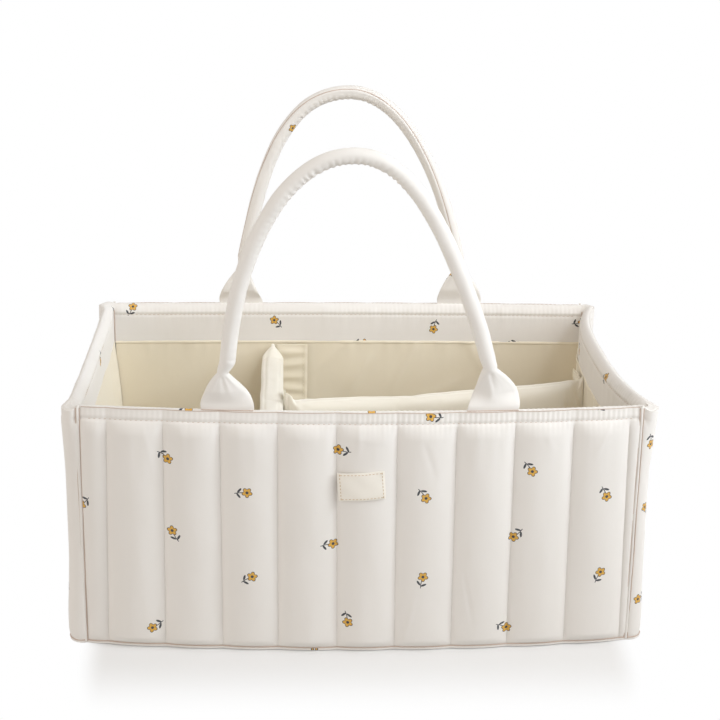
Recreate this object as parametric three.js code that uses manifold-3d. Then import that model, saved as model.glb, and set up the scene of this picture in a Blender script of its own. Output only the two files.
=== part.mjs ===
// A fabric diaper caddy: a quilted open box stiffened with boards, two corded handles, and two
// padded dividers that stick inside with hook-and-loop flaps.
// Millimetres. +X is the caddy's right, +Y its back, +Z up. The origin is on the floor, midway
// between the four upright corners.

import * as THREE from "three";
import { mergeVertices } from "three/addons/utils/BufferGeometryUtils.js";
import Module from "manifold-3d";

const wasm = await Module();
wasm.setup();

// The box, measured over its upright corners
const bodyWidth = 380;
const bodyDepth = 240;
const bodyHeight = 167;
const cornerRadius = 10;
// How far the middle of each wall stands out of, or hangs into, the line between its corners
const frontBow = 12;
const backBow = 3;
const leftBow = 1;
const rightBow = 12;

// Layers, and the clearance that sewn or stacked layers keep
const gap = 0.3;
const cloth = 0.8;
const waddingAtStitch = 2;
const boardThickness = 2;
const boardDrop = 5;
const boardSetback = 1;
const baseCloth = 1.2;
const baseBoardThickness = 3;
const tapeThickness = 0.7;
const flapThickness = 1;

// Quilting: upright channels between stitch lines
const stitchInset = 1;
const quiltPitch = 37.4;
const quiltCrown = 4.5;
const frontQuiltShift = 4.7;
const leastChannel = 5;
const leastStep = 1;
const hemDepth = 8;
const facingDepth = 30;

// Handles: a flat spade end is sewn into the wall and gathers into a corded tube
const handleSpacing = 168.4;
const handleSplay = 3;
// Each handle as it stands: the middle of its feet, its height, where its top is, how far its legs
// lean in, and how far its top runs level
const arches = {
  front: {
    centre: -1.6, rise: 160, topX: -7.4,
    leftTuck: 2.6, rightTuck: 19, leftShoulder: 47, rightShoulder: 41.6,
  },
  back: {
    centre: 1, rise: 158.2, topX: -1.2,
    leftTuck: 10.9, rightTuck: 9.8, leftShoulder: 54.3, rightShoulder: 42.5,
  },
};
const hingeRise = 4;
const tubeDiameter = 10.2;
const cordDiameter = 8;
const cordSetback = 3;
const seamSlit = 0.6;
const spadeWidth = 35;
const spadeThickness = 2;
const spadeLength = 20;
const spadeTaper = 1.85;
const neckWidth = 7.4;
const tabThickness = 1.4;
const tabDepth = 24;

// Dividers
const dividerTop = 132;
const crossX = -59;
const crossThickness = 16;
const longThickness = 10;
const longLeftY = -2;
const longRightY = 28;
const endSlack = 0.6;
const pinchHalf = 1;
const foamThickness = 6;
const foamInset = 20;
const flapWidth = 18;
const flapTop = 134;
const flapBottom = 14;
const tapeMargin = 2;

// Label on the front
const labelWidth = 30;
const labelHeight = 18.8;
const labelX = -0.5;
const labelZ = 118.5;
const labelTilt = 4.5;

// Insets of each layer from the box's nominal outline, from the outside in
const faceInner = stitchInset + cloth;
const waddingOuter = faceInner + gap;
const waddingInner = waddingOuter + waddingAtStitch;
const tabOuter = waddingInner + gap;
const tabInner = tabOuter + tabThickness;
const boardOuter = tabInner + gap;
const boardInner = boardOuter + boardThickness;
const liningOuter = boardInner + gap;
const liningInner = liningOuter + cloth;
const loopOuter = liningInner + gap;
const loopInner = loopOuter + tapeThickness;
const hookOuter = loopInner + gap;
const hookInner = hookOuter + tapeThickness;
const flapOuter = hookInner + gap;
const flapInner = flapOuter + flapThickness;

// Heights
const wallBottom = baseCloth + gap;
const baseBoardTop = wallBottom + baseBoardThickness;
const liningBottom = baseBoardTop + gap;
const floorTop = liningBottom + cloth;
const dividerBottom = floorTop + gap;
const hemStitch = bodyHeight - hemDepth;
const returnBottom = bodyHeight - cloth;
const wallTop = returnBottom - gap;
const facingBottom = bodyHeight - facingDepth;
// The wadding stops below the hem, so the face closes up on the board by as much at the top edge.
const hemPinch = waddingAtStitch;
const topEdgeInset = stitchInset + hemPinch;

// Half lengths of the walls between the corner rounds
const halfX = bodyWidth / 2 - cornerRadius;
const halfY = bodyDepth / 2 - cornerRadius;
const seamHalfGap = gap / 2;
const spadeX = (arch, side) => arch.centre + (side * handleSpacing) / 2;

const ivory = { color: "#e9e5df", roughness: 0.62 };
const cream = { color: "#ece5cf", roughness: 0.6 };
const white = { color: "#f4f4f1", roughness: 0.95 };
const greyBoard = { color: "#b9b6ad", roughness: 0.8 };
const labelCotton = { color: "#f2ead6", roughness: 0.9 };
const tapeNylon = { color: "#e6dfc8", roughness: 0.95 };

const caddy = new THREE.Group();

function addMesh(parent, name, geometry, finish) {
  const mesh = new THREE.Mesh(geometry, new THREE.MeshStandardMaterial({ ...finish, metalness: 0 }));
  mesh.name = name;
  parent.add(mesh);
  return mesh;
}

// Booleans

function toSolid(geometry) {
  const bare = geometry.clone();
  bare.deleteAttribute("normal");
  bare.deleteAttribute("uv");
  const merged = mergeVertices(bare, 1e-3);
  return new wasm.Manifold(
    new wasm.Mesh({
      numProp: 3,
      vertProperties: merged.attributes.position.array,
      triVerts: new Uint32Array(merged.index.array),
    }),
  );
}

function toGeometry(solid) {
  const mesh = solid.getMesh();
  const geometry = new THREE.BufferGeometry();
  geometry.setAttribute("position", new THREE.BufferAttribute(mesh.vertProperties, 3));
  geometry.setIndex(new THREE.BufferAttribute(mesh.triVerts, 1));
  return geometry;
}

const join = (a, b) => toGeometry(toSolid(a).add(toSolid(b)));
const cut = (a, b) => toGeometry(toSolid(a).subtract(toSolid(b)));

// Plan of the walls. A wall's at(s, inset) is the plan point s along the wall, inset from its outline.

const archBow = (share) => Math.max(0, 1 - share * share);
const flatBow = (share) => Math.max(0, 1 - Math.abs(share) ** 3);
const plan = (x, y) => new THREE.Vector2(x, y);

const walls = {
  front: {
    half: halfX,
    steps: 18,
    at: (s, inset) => plan(s, -bodyDepth / 2 - frontBow * archBow(s / halfX) + inset),
  },
  back: {
    half: halfX,
    steps: 10,
    at: (s, inset) => plan(s, bodyDepth / 2 + backBow * archBow(s / halfX) - inset),
  },
  left: {
    half: halfY,
    steps: 14,
    at: (s, inset) => plan(-bodyWidth / 2 + leftBow * flatBow(s / halfY) + inset, s),
  },
  right: {
    half: halfY,
    steps: 18,
    at: (s, inset) => plan(bodyWidth / 2 - rightBow * flatBow(s / halfY) - inset, s),
  },
};

function stations(wall, from, to) {
  const pitch = (2 * wall.half) / wall.steps;
  const inside = [];
  for (let i = 1; i < wall.steps; i++) {
    const s = -wall.half + i * pitch;
    if (s > from + leastStep && s < to - leastStep) inside.push(s);
  }
  return [from, ...inside, to];
}

function extrude(shape, low, high) {
  const geometry = new THREE.ExtrudeGeometry(shape, { depth: high - low, bevelEnabled: false });
  return geometry.translate(0, 0, low);
}

// A layer that follows a wall from one place along it to another.
function wallStrip(wall, from, to, outer, inner, low, high) {
  const along = stations(wall, from, to);
  const outside = along.map((s) => wall.at(s, outer));
  const inside = along.map((s) => wall.at(s, inner)).reverse();
  return extrude(new THREE.Shape([...outside, ...inside]), low, high);
}

// The end panels turn both upright corners, so their run goes past the wall round each corner.
const endRun = halfY + (cornerRadius * Math.PI) / 2;

function endPoint(side, s, inset) {
  if (Math.abs(s) <= halfY) return walls[side].at(s, inset);
  const turn = (Math.abs(s) - halfY) / cornerRadius;
  const reach = cornerRadius - inset;
  const sideways = side === "right" ? 1 : -1;
  return plan(
    sideways * (halfX + reach * Math.cos(turn)),
    Math.sign(s) * (halfY + reach * Math.sin(turn)),
  );
}

// The closed outline of the box at an inset, walls and corners in turn, anticlockwise from the
// front left.
function boxOutline(inset) {
  const limitX = Math.min(halfX, bodyWidth / 2 - inset);
  const limitY = Math.min(halfY, bodyDepth / 2 - inset);
  const run = (name, limit) => stations(walls[name], -limit, limit).map((s) => walls[name].at(s, inset));
  const corner = (x, y, start) => {
    const reach = cornerRadius - inset;
    if (reach < 2 * gap) return [];
    return [1, 2, 3].map((i) => {
      const turn = start + (i * Math.PI) / 8;
      return plan(x + reach * Math.cos(turn), y + reach * Math.sin(turn));
    });
  };
  return new THREE.Shape([
    ...run("front", limitX),
    ...corner(halfX, -halfY, -Math.PI / 2),
    ...run("right", limitY),
    ...corner(halfX, halfY, 0),
    ...run("back", limitX).reverse(),
    ...corner(-halfX, halfY, Math.PI / 2),
    ...run("left", limitY).reverse(),
    ...corner(-halfX, -halfY, Math.PI),
  ]);
}

// Lofts

// A closed solid through rings of equally many points, capped flat at the first and last ring.
function loft(rings) {
  const count = rings[0].length;
  const index = [];
  for (let r = 0; r + 1 < rings.length; r++) {
    for (let i = 0; i < count; i++) {
      const a = r * count + i;
      const b = r * count + ((i + 1) % count);
      index.push(a, b, b + count, a, b + count, a + count);
    }
  }
  const last = (rings.length - 1) * count;
  capTriangles(rings[0]).forEach(([a, b, c]) => index.push(a, c, b));
  capTriangles(rings[rings.length - 1]).forEach((corners) => {
    index.push(...corners.map((i) => last + i));
  });
  const geometry = new THREE.BufferGeometry();
  const positions = rings.flat().flatMap((p) => [p.x, p.y, p.z]);
  geometry.setAttribute("position", new THREE.Float32BufferAttribute(positions, 3));
  geometry.setIndex(index);
  return facingOut(geometry);
}

// Triangles that fill a ring and turn the same way as it does.
function capTriangles(ring) {
  const middle = new THREE.Box3().setFromPoints(ring).getCenter(new THREE.Vector3());
  const from = (a, b) => new THREE.Vector3().subVectors(b, a);
  const facing = new THREE.Vector3();
  ring.forEach((p, i) => facing.add(from(middle, p).cross(from(middle, ring[(i + 1) % ring.length]))));
  const axes = ["x", "y", "z"].sort((j, k) => Math.abs(facing[j]) - Math.abs(facing[k]));
  const [u, v] = axes;
  const triangles = THREE.ShapeUtils.triangulateShape(ring.map((p) => plan(p[u], p[v])), []);
  return triangles.map(([a, b, c]) => {
    const turn = from(ring[a], ring[b]).cross(from(ring[a], ring[c])).dot(facing);
    return turn > 0 ? [a, b, c] : [a, c, b];
  });
}

function facingOut(geometry) {
  const p = geometry.attributes.position;
  const at = (i) => new THREE.Vector3().fromBufferAttribute(p, i);
  const index = geometry.index.array;
  let volume = 0;
  for (let i = 0; i < index.length; i += 3) {
    volume += at(index[i]).dot(at(index[i + 1]).cross(at(index[i + 2])));
  }
  if (volume < 0) {
    for (let i = 0; i < index.length; i += 3) {
      [index[i + 1], index[i + 2]] = [index[i + 2], index[i + 1]];
    }
  }
  return geometry;
}

// Quilting

const channelShares = [0, 0.14, 0.36, 0.64, 0.86];

// Stitch lines between two edges, at the quilting pitch about a middle.
function quiltLines(from, to, middle) {
  const lines = [from];
  const first = Math.ceil((from + leastChannel - middle) / quiltPitch - 0.5);
  for (let k = first; middle + (k + 0.5) * quiltPitch < to - leastChannel; k++) {
    lines.push(middle + (k + 0.5) * quiltPitch);
  }
  return [...lines, to];
}

function crownAt(lines, s) {
  const i = Math.max(0, lines.findLastIndex((line, k) => line <= s && k < lines.length - 1));
  const width = lines[i + 1] - lines[i];
  const share = Math.min(1, Math.max(0, (s - lines[i]) / width));
  const fullness = quiltCrown * Math.min(1, width / quiltPitch);
  return fullness * Math.sin(Math.PI * share) ** 0.75;
}

function quiltStations(lines) {
  const inside = lines
    .slice(0, -1)
    .flatMap((line, i) => channelShares.map((share) => line + share * (lines[i + 1] - line)));
  return [...inside, lines[lines.length - 1]];
}

// Heights of a quilted panel's rings, with how much of its crown it has there.
const bodyRings = [
  [wallBottom, 0.35],
  [wallBottom + 7, 0.9],
  [wallBottom + 20, 1],
  [hemStitch - 16, 1],
  [hemStitch - 5, 0.75],
];
const hemCrown = 0.3;
const waddingRings = [...bodyRings, [hemStitch - gap, hemCrown]];
const faceRings = [
  ...bodyRings.map((ring) => [...ring, 0]),
  [hemStitch, hemCrown, 0],
  [wallTop, hemCrown, hemPinch],
];

const lift = (point, z) => new THREE.Vector3(point.x, point.y, z);

// The face is a wavy skin of even thickness. The wadding fills its waves and is flat at the back.
function quiltedSkin(pointAt, lines) {
  const along = quiltStations(lines);
  const rings = faceRings.map(([z, share, pinch]) => {
    const shift = (s) => pinch - share * crownAt(lines, s);
    const outside = along.map((s) => lift(pointAt(s, stitchInset + shift(s)), z));
    const inside = along.map((s) => lift(pointAt(s, faceInner + shift(s)), z));
    return [...outside, ...inside.reverse()];
  });
  return loft(rings);
}

function quiltFill(pointAt, lines, backStations) {
  const along = quiltStations(lines);
  const rings = waddingRings.map(([z, share]) => {
    const outside = along.map((s) => lift(pointAt(s, waddingOuter - share * crownAt(lines, s)), z));
    const inside = backStations.map((s) => lift(pointAt(s, waddingInner), z));
    return [...inside, ...outside.reverse()];
  });
  return loft(rings);
}

// Walls

const panelHalf = halfX - seamHalfGap;
const frontLines = quiltLines(-panelHalf, panelHalf, frontQuiltShift);
const backLines = quiltLines(-panelHalf, panelHalf, -frontQuiltShift);
const endHalf = endRun - seamHalfGap;
const endLines = quiltLines(-endHalf, endHalf, 0);
const cornerStations = [1, 2, 3].map((i) => halfY + (i * (endHalf - halfY)) / 3);
const endBackStations = [
  ...cornerStations.map((s) => -s).reverse(),
  ...stations(walls.right, -halfY, halfY),
  ...cornerStations,
];

const liningHalf = {
  front: Math.min(panelHalf, bodyWidth / 2 - liningOuter),
  back: Math.min(panelHalf, bodyWidth / 2 - liningOuter),
  left: bodyDepth / 2 - liningInner - gap,
  right: bodyDepth / 2 - liningInner - gap,
};
const boardHalf = {
  front: halfX - boardSetback,
  back: halfX - boardSetback,
  left: halfY - boardSetback,
  right: halfY - boardSetback,
};

function addLongWall(name, lines) {
  const wall = walls[name];
  const backStations = stations(wall, -panelHalf, panelHalf);
  addMesh(caddy, `${name}_quilted_face`, quiltedSkin(wall.at, lines), ivory);
  addMesh(caddy, `${name}_wadding`, quiltFill(wall.at, lines, backStations), white);
}

function addEndWall(name) {
  const pointAt = (s, inset) => endPoint(name, s, inset);
  addMesh(caddy, `${name}_quilted_face`, quiltedSkin(pointAt, endLines), ivory);
  addMesh(caddy, `${name}_wadding`, quiltFill(pointAt, endLines, endBackStations), white);
}

function addWallInside(name) {
  const wall = walls[name];
  const board = boardHalf[name];
  const half = liningHalf[name];
  const boardTop = wallTop - boardDrop;
  const liningTop = facingBottom - gap;
  const stiffener = wallStrip(wall, -board, board, boardOuter, boardInner, wallBottom, boardTop);
  const lining = wallStrip(wall, -half, half, liningOuter, liningInner, liningBottom, liningTop);
  addMesh(caddy, `${name}_board`, stiffener, greyBoard);
  addMesh(caddy, `${name}_lining`, lining, cream);
}

// A facing is a band inside the top edge that returns over the edge to meet the face.
function facingBand(name) {
  const half = liningHalf[name];
  return wallStrip(walls[name], -half, half, liningOuter, liningInner, facingBottom, bodyHeight);
}

function longFacing(name) {
  const top = wallStrip(
    walls[name], -panelHalf, panelHalf, topEdgeInset, liningInner, returnBottom, bodyHeight,
  );
  const slots = [-1, 1].map((side) => {
    const middle = spadeX(arches[name], side);
    const reach = spadeWidth / 2 + gap;
    return wallStrip(
      walls[name], middle - reach, middle + reach, tabOuter - gap, tabInner + gap,
      returnBottom - 1, bodyHeight + 1,
    );
  });
  return slots.reduce(cut, join(facingBand(name), top));
}

function endFacing(name) {
  const half = liningHalf[name];
  const sideways = name === "right" ? 1 : -1;
  const seamX = sideways * (halfX + seamHalfGap);
  const outside = endBackStations.map((s) => endPoint(name, s, topEdgeInset));
  const inside = stations(walls[name], -half, half).map((s) => walls[name].at(s, liningInner));
  const shape = new THREE.Shape([
    ...outside,
    plan(seamX, half),
    ...inside.reverse(),
    plan(seamX, -half),
  ]);
  return join(facingBand(name), extrude(shape, returnBottom, bodyHeight));
}

addLongWall("front", frontLines);
addLongWall("back", backLines);
addEndWall("left");
addEndWall("right");
Object.keys(walls).forEach(addWallInside);
["front", "back"].forEach((name) => addMesh(caddy, `${name}_facing`, longFacing(name), ivory));
["left", "right"].forEach((name) => addMesh(caddy, `${name}_facing`, endFacing(name), ivory));

// Base

addMesh(caddy, "base_cover", extrude(boxOutline(stitchInset), 0, baseCloth), ivory);
addMesh(caddy, "base_board", extrude(boxOutline(boardInner + gap), wallBottom, baseBoardTop), greyBoard);
addMesh(caddy, "base_lining", extrude(boxOutline(liningInner + gap), liningBottom, floorTop), cream);

// Label: a cotton tab that lies over one channel of the front, a little askew

function frontLabel() {
  const tilt = THREE.MathUtils.degToRad(labelTilt);
  const columns = 8;
  const corner = (across, up, lift) => {
    const s = labelX + across * Math.cos(tilt) - up * Math.sin(tilt);
    const z = labelZ + across * Math.sin(tilt) + up * Math.cos(tilt);
    const p = walls.front.at(s, stitchInset - crownAt(frontLines, s) - lift);
    return new THREE.Vector3(p.x, p.y, z);
  };
  const rings = [];
  for (let i = 0; i <= columns; i++) {
    const across = labelWidth * (i / columns - 0.5);
    const half = labelHeight / 2;
    rings.push([
      corner(across, -half, gap + cloth),
      corner(across, half, gap + cloth),
      corner(across, half, gap),
      corner(across, -half, gap),
    ]);
  }
  return loft(rings);
}

addMesh(caddy, "front_label", frontLabel(), labelCotton);

// Handles

// The arch's centre line between the two necks, in the handle's own upright plane.
function handleArch(arch) {
  const { rise, topX } = arch;
  const top = new THREE.Vector3(topX, 0, rise);
  const climb = (rise - spadeLength) / 2;
  const leg = (side, tuck, shoulder) => {
    const foot = new THREE.Vector3(spadeX(arch, side), 0, spadeLength);
    const lean = climb * Math.tan(THREE.MathUtils.degToRad(tuck));
    const lower = new THREE.Vector3(foot.x - side * lean, 0, spadeLength + climb);
    const upper = new THREE.Vector3(topX + side * shoulder, 0, rise);
    return [foot, lower, upper];
  };
  const path = new THREE.CurvePath();
  path.add(new THREE.CubicBezierCurve3(...leg(-1, arch.leftTuck, arch.leftShoulder), top));
  path.add(new THREE.CubicBezierCurve3(top, ...leg(1, arch.rightTuck, arch.rightShoulder).reverse()));
  return path;
}

// A stretch of the arch that stops short of both necks.
class InsetCurve extends THREE.Curve {
  constructor(arch, shortBy) {
    super();
    this.arch = arch;
    this.margin = shortBy / arch.getLength();
  }
  getPoint(t) {
    return this.arch.getPointAt(this.margin + t * (1 - 2 * this.margin));
  }
}

const ringPoints = 12;
const archSteps = 20;
const tubeRadius = tubeDiameter / 2;
const neckBlend = 9;

// A flattened round: squareness 2 is an ellipse, more is boxier.
function sleeveRing(centre, sideways, halfWidth, halfThickness, squareness) {
  const points = [];
  for (let i = 0; i < ringPoints; i++) {
    const turn = ((i + 0.5) / ringPoints) * 2 * Math.PI;
    const soft = (v) => Math.sign(v) * Math.abs(v) ** (2 / squareness);
    const p = centre.clone().addScaledVector(sideways, halfWidth * soft(Math.cos(turn)));
    p.y += halfThickness * soft(Math.sin(turn));
    points.push(p);
  }
  return points;
}

// Half the spade's width at a height above its fold line. It narrows from the top edge of the wall up.
function spadeHalf(z) {
  const share = Math.max(0, (z + hingeRise) / (spadeLength + hingeRise));
  return neckWidth / 2 + ((spadeWidth - neckWidth) / 2) * (1 - share ** spadeTaper);
}

// The spade end: flat where it is sewn in, gathered to a narrow neck. Its foot is rounded about the
// fold line.
function spadeRings(x) {
  const flat = spadeThickness / 2;
  const foot = [
    [-flat, 0.3],
    [-0.7 * flat, 0.72],
    [0, 1],
  ].map(([z, share]) => [z, spadeHalf(z), flat * share, 5]);
  const rise = [0.22, 0.45, 0.65, 0.82, 1].map((share) => [
    share * spadeLength,
    spadeHalf(share * spadeLength),
    flat + (neckWidth / 2 - flat) * share ** 1.5,
    5 - 3 * share,
  ]);
  const sideways = new THREE.Vector3(1, 0, 0);
  return [...foot, ...rise].map(([z, halfWidth, halfThickness, squareness]) =>
    sleeveRing(new THREE.Vector3(x, 0, z), sideways, halfWidth, halfThickness, squareness),
  );
}

function handleSleeve(shape, arch, inward) {
  const length = arch.getLength();
  const tube = [];
  for (let i = 1; i < archSteps; i++) {
    const share = i / archSteps;
    const fromNeck = Math.min(share, 1 - share) * length;
    const blend = THREE.MathUtils.smoothstep(fromNeck, 0, neckBlend);
    const radius = THREE.MathUtils.lerp(neckWidth / 2, tubeRadius, blend);
    const along = arch.getTangentAt(share);
    const sideways = new THREE.Vector3(along.z, 0, -along.x);
    tube.push(sleeveRing(arch.getPointAt(share), sideways, radius, radius, 2));
  }
  const leftSpade = spadeRings(spadeX(shape, -1));
  const rightSpade = spadeRings(spadeX(shape, 1)).map(mirrorRing).reverse();
  const solid = loft([...leftSpade, ...tube, ...rightSpade]);
  return cut(solid, cordChannel(arch, inward));
}

// The far spade runs downwards, so its rings are numbered from the other side.
function mirrorRing(ring) {
  return ring.map((_, i) => ring[(ringPoints + ringPoints / 2 - 1 - i) % ringPoints]);
}

const cordStart = neckBlend + cordSetback;

// The cord's room inside the sleeve, open along the seam where the sleeve's two edges meet.
function cordChannel(arch, inward) {
  const radius = cordDiameter / 2 + gap;
  const half = Math.asin(seamSlit / 2 / radius);
  const mouth = tubeDiameter;
  const outline = [plan(-inward * mouth, seamSlit / 2), plan(-inward * mouth, -seamSlit / 2)];
  for (let i = 0; i <= ringPoints; i++) {
    const turn = Math.PI + half + (i / ringPoints) * (2 * Math.PI - 2 * half);
    outline.push(plan(inward * radius * Math.cos(turn), radius * Math.sin(turn)));
  }
  return sweep(new THREE.Shape(outline), new InsetCurve(arch, cordStart));
}

function sweep(shape, path) {
  return new THREE.ExtrudeGeometry(shape, { steps: archSteps, extrudePath: path });
}

function fillerCord(arch) {
  const section = new THREE.Shape();
  section.absarc(0, 0, cordDiameter / 2, 0, 2 * Math.PI);
  const points = new THREE.Shape(section.getPoints(ringPoints / 2).slice(0, -1));
  return sweep(points, new InsetCurve(arch, cordStart + gap));
}

function addHandle(name) {
  const outward = name === "front" ? -1 : 1;
  const shape = arches[name];
  const wall = walls[name];
  const hinge = wall.at(handleSpacing / 2, (tabOuter + tabInner) / 2);
  const handle = new THREE.Group();
  handle.position.set(0, hinge.y, bodyHeight + hingeRise);
  handle.rotation.x = -outward * THREE.MathUtils.degToRad(handleSplay);
  caddy.add(handle);
  const arch = handleArch(shape);
  addMesh(handle, `${name}_handle_sleeve`, handleSleeve(shape, arch, -outward), ivory);
  addMesh(handle, `${name}_handle_cord`, fillerCord(arch), white);
  const tabTop = bodyHeight + hingeRise - spadeThickness / 2 - 2 * gap;
  [["left", -1], ["right", 1]].forEach(([side, sign]) => {
    const middle = spadeX(shape, sign);
    const tab = wallStrip(
      wall, middle - spadeWidth / 2, middle + spadeWidth / 2, tabOuter, tabInner,
      bodyHeight - tabDepth, tabTop,
    );
    addMesh(caddy, `${name}_handle_${side}_tab`, tab, ivory);
  });
}

addHandle("front");
addHandle("back");

// Dividers

// A padded board along +X from the origin: crowned faces, a rounded top, and ends pinched to a seam
// that lies towards the side with the flaps.
function paddedBoard(length, thickness, flapSide) {
  const half = thickness / 2;
  const height = dividerTop - dividerBottom;
  const shares = [0, 0.012, 0.03, 0.06, 0.11, 0.5, 0.89, 0.94, 0.97, 0.988, 1];
  const rings = shares.map((share) => {
    const fullness = Math.sqrt(1 - Math.abs(2 * share - 1) ** 24);
    const thick = pinchHalf + (half - pinchHalf) * fullness;
    const shift = flapSide * (half - pinchHalf) * 0.6 * (1 - fullness);
    const shoulder = height - thick;
    const side = [
      [0.8, 0],
      [1, 0.12 * height],
      [1, shoulder],
      [0.87, shoulder + 0.5 * thick],
      [0.5, shoulder + 0.87 * thick],
    ];
    const at = (sign) => ([wide, z]) =>
      new THREE.Vector3(share * length, shift + sign * wide * thick, dividerBottom + z);
    return [...side.map(at(1)), ...side.map(at(-1)).reverse()];
  });
  return loft(rings);
}

function foamSlab(length, clearance, bottom) {
  const slab = new THREE.BoxGeometry(
    length - 2 * foamInset + 2 * clearance,
    foamThickness + 2 * clearance,
    dividerTop - foamInset / 2 - bottom + clearance,
  );
  const middle = (dividerTop - foamInset / 2 + clearance + bottom) / 2;
  return slab.translate(length / 2, 0, middle);
}

// The cover is open along its bottom seam, where the foam goes in.
function addDivider(name, length, thickness, flapSide, place) {
  const group = new THREE.Group();
  place(group);
  caddy.add(group);
  const cavity = foamSlab(length, gap, dividerBottom - 1);
  addMesh(group, `${name}_cover`, cut(paddedBoard(length, thickness, flapSide), cavity), cream);
  addMesh(group, `${name}_foam`, foamSlab(length, 0, dividerBottom + gap), white);
}

const crossFront = walls.front.at(crossX, liningInner + endSlack).y;
const crossBack = walls.back.at(crossX, liningInner + endSlack).y;
addDivider("cross_divider", crossBack - crossFront, crossThickness, -1, (group) => {
  group.position.set(crossX, crossFront, 0);
  group.rotation.z = Math.PI / 2;
});

const crossFace = crossX + crossThickness / 2;
const longStart = plan(crossFace + gap + endSlack, longLeftY);
const longEnd = walls.right.at(longRightY, liningInner + endSlack);
const longLength = longStart.distanceTo(longEnd);
addDivider("long_divider", longLength, longThickness, 1, (group) => {
  group.position.set(longStart.x, longStart.y, 0);
  group.rotation.z = Math.atan2(longEnd.y - longStart.y, longEnd.x - longStart.x);
});

// Flaps, each with a hook tape on its back, over a loop tape on the wall that it sticks to

function addFlap(flapName, tapeName, stripAt, from) {
  const to = from + flapWidth;
  const tapeFrom = from + tapeMargin;
  const tapeTo = to - tapeMargin;
  const tapeTop = flapTop - 2 * tapeMargin;
  const tapeBottom = flapBottom + 2 * tapeMargin;
  const tape = (outer, inner) => stripAt(tapeFrom, tapeTo, outer, inner, tapeBottom, tapeTop);
  addMesh(caddy, flapName, stripAt(from, to, flapOuter, flapInner, flapBottom, flapTop), cream);
  addMesh(caddy, `${tapeName}_hook_tape`, tape(hookOuter, hookInner), tapeNylon);
  addMesh(caddy, `${tapeName}_loop_tape`, tape(loopOuter, loopInner), tapeNylon);
}

const onWall = (name) => (from, to, outer, inner, low, high) =>
  wallStrip(walls[name], from, to, outer, inner, low, high);

// On the cross divider's right face, layers are counted from that face.
function onCrossDivider(from, to, outer, inner, low, high) {
  const x = (inset) => crossFace + inset - liningInner;
  const corners = [[outer, from], [inner, from], [inner, to], [outer, to]];
  const shape = new THREE.Shape(corners.map(([inset, y]) => plan(x(inset), y)));
  return extrude(shape, low, high);
}

const flapStart = 2 * gap;
const longFlapStart = longThickness / 2 + 3 * gap;
addFlap("cross_divider_back_flap", "cross_back", onWall("back"), crossFace + flapStart);
addFlap("cross_divider_front_flap", "cross_front", onWall("front"), crossFace + flapStart);
addFlap("long_divider_left_flap", "long_left", onCrossDivider, longLeftY + longFlapStart);
addFlap("long_divider_right_flap", "long_right", onWall("right"), longRightY + longFlapStart);

export default caddy;
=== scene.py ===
from functools import partial
from math import copysign, cos, pi, radians, sin, tan
import bpy
import numpy as np
from mathutils import Matrix, Vector


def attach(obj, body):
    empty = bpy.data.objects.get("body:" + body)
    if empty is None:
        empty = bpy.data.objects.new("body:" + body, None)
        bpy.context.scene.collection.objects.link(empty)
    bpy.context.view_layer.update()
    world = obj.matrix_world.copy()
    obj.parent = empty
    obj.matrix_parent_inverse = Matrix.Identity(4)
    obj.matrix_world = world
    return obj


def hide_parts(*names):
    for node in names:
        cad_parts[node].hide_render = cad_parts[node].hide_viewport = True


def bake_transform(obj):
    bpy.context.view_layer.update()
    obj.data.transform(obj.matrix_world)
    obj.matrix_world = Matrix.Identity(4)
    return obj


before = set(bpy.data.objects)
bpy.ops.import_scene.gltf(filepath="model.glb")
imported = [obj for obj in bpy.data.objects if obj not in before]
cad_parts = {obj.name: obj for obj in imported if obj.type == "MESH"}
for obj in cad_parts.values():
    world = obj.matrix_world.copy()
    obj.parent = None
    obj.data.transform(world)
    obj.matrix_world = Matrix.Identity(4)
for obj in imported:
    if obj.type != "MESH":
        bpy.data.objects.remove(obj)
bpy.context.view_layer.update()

# Lengths are in millimetres.
MM = 0.001

# Plan of the caddy.
HALF_X, HALF_Y, CORNER = 180, 110, 10
SIDE_X, SIDE_Y = HALF_X + CORNER, HALF_Y + CORNER
FRONT_BOW, BACK_BOW, LEFT_BOW, RIGHT_BOW = 12, 3, 1, 12
END_RUN = HALF_Y + CORNER * pi / 2
LONG_WALLS = ("front", "back")

# Heights. Above LIFT_FROM the top edge dips or rises towards the corners.
BASE_SEAM = 2.6
FACING_BOTTOM = 137
LIFT_FROM = 150
HEM_STITCH = 159
FACE_TOP = 166.1
TOP = 167
HINGE_Z = 171

# Insets of the stitch lines and the lining from the outline, and the thickness of its cloth.
STITCH_INSET, LINING_MIDDLE, CLOTH = 1, 8.8, 0.7

# Quilting, stitches and seam lines. The top stitches stop STITCH_END short of the corners.
QUILT_PITCH, STITCH_PITCH, STITCH_LENGTH, STITCH_END = 37.4, 3.3, 2.3, 4
SEAM_RADIUS = 0.36
FRONT_LINE_FEET = [-180, -165.7, -127.6, -89.8, -53.5, -14.7, 23, 60.7, 98.1, 136.9, 175, 180]
FRONT_LINE_TOPS = [-180, -162.5, -126.7, -90.7, -54.1, -16.7, 21.8, 59.7, 97.4, 135.3, 172.1, 180]
BACK_LINES = [-180, -172.7, -135.3, -97.9, -60.5, -23.1, 14.3, 51.7, 89.1, 126.5, 163.9, 180]
END_LINES = [-125.7, -93.5, -56.1, -18.7, 18.7, 56.1, 93.5, 125.7]


# Walls

def long_wall(outward, bow):
    """The front or the back, bowed along its length."""
    def at(s, inset):
        return s, outward * (SIDE_Y + bow * (1 - (s / HALF_X) ** 2) - inset)
    return at


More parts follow.
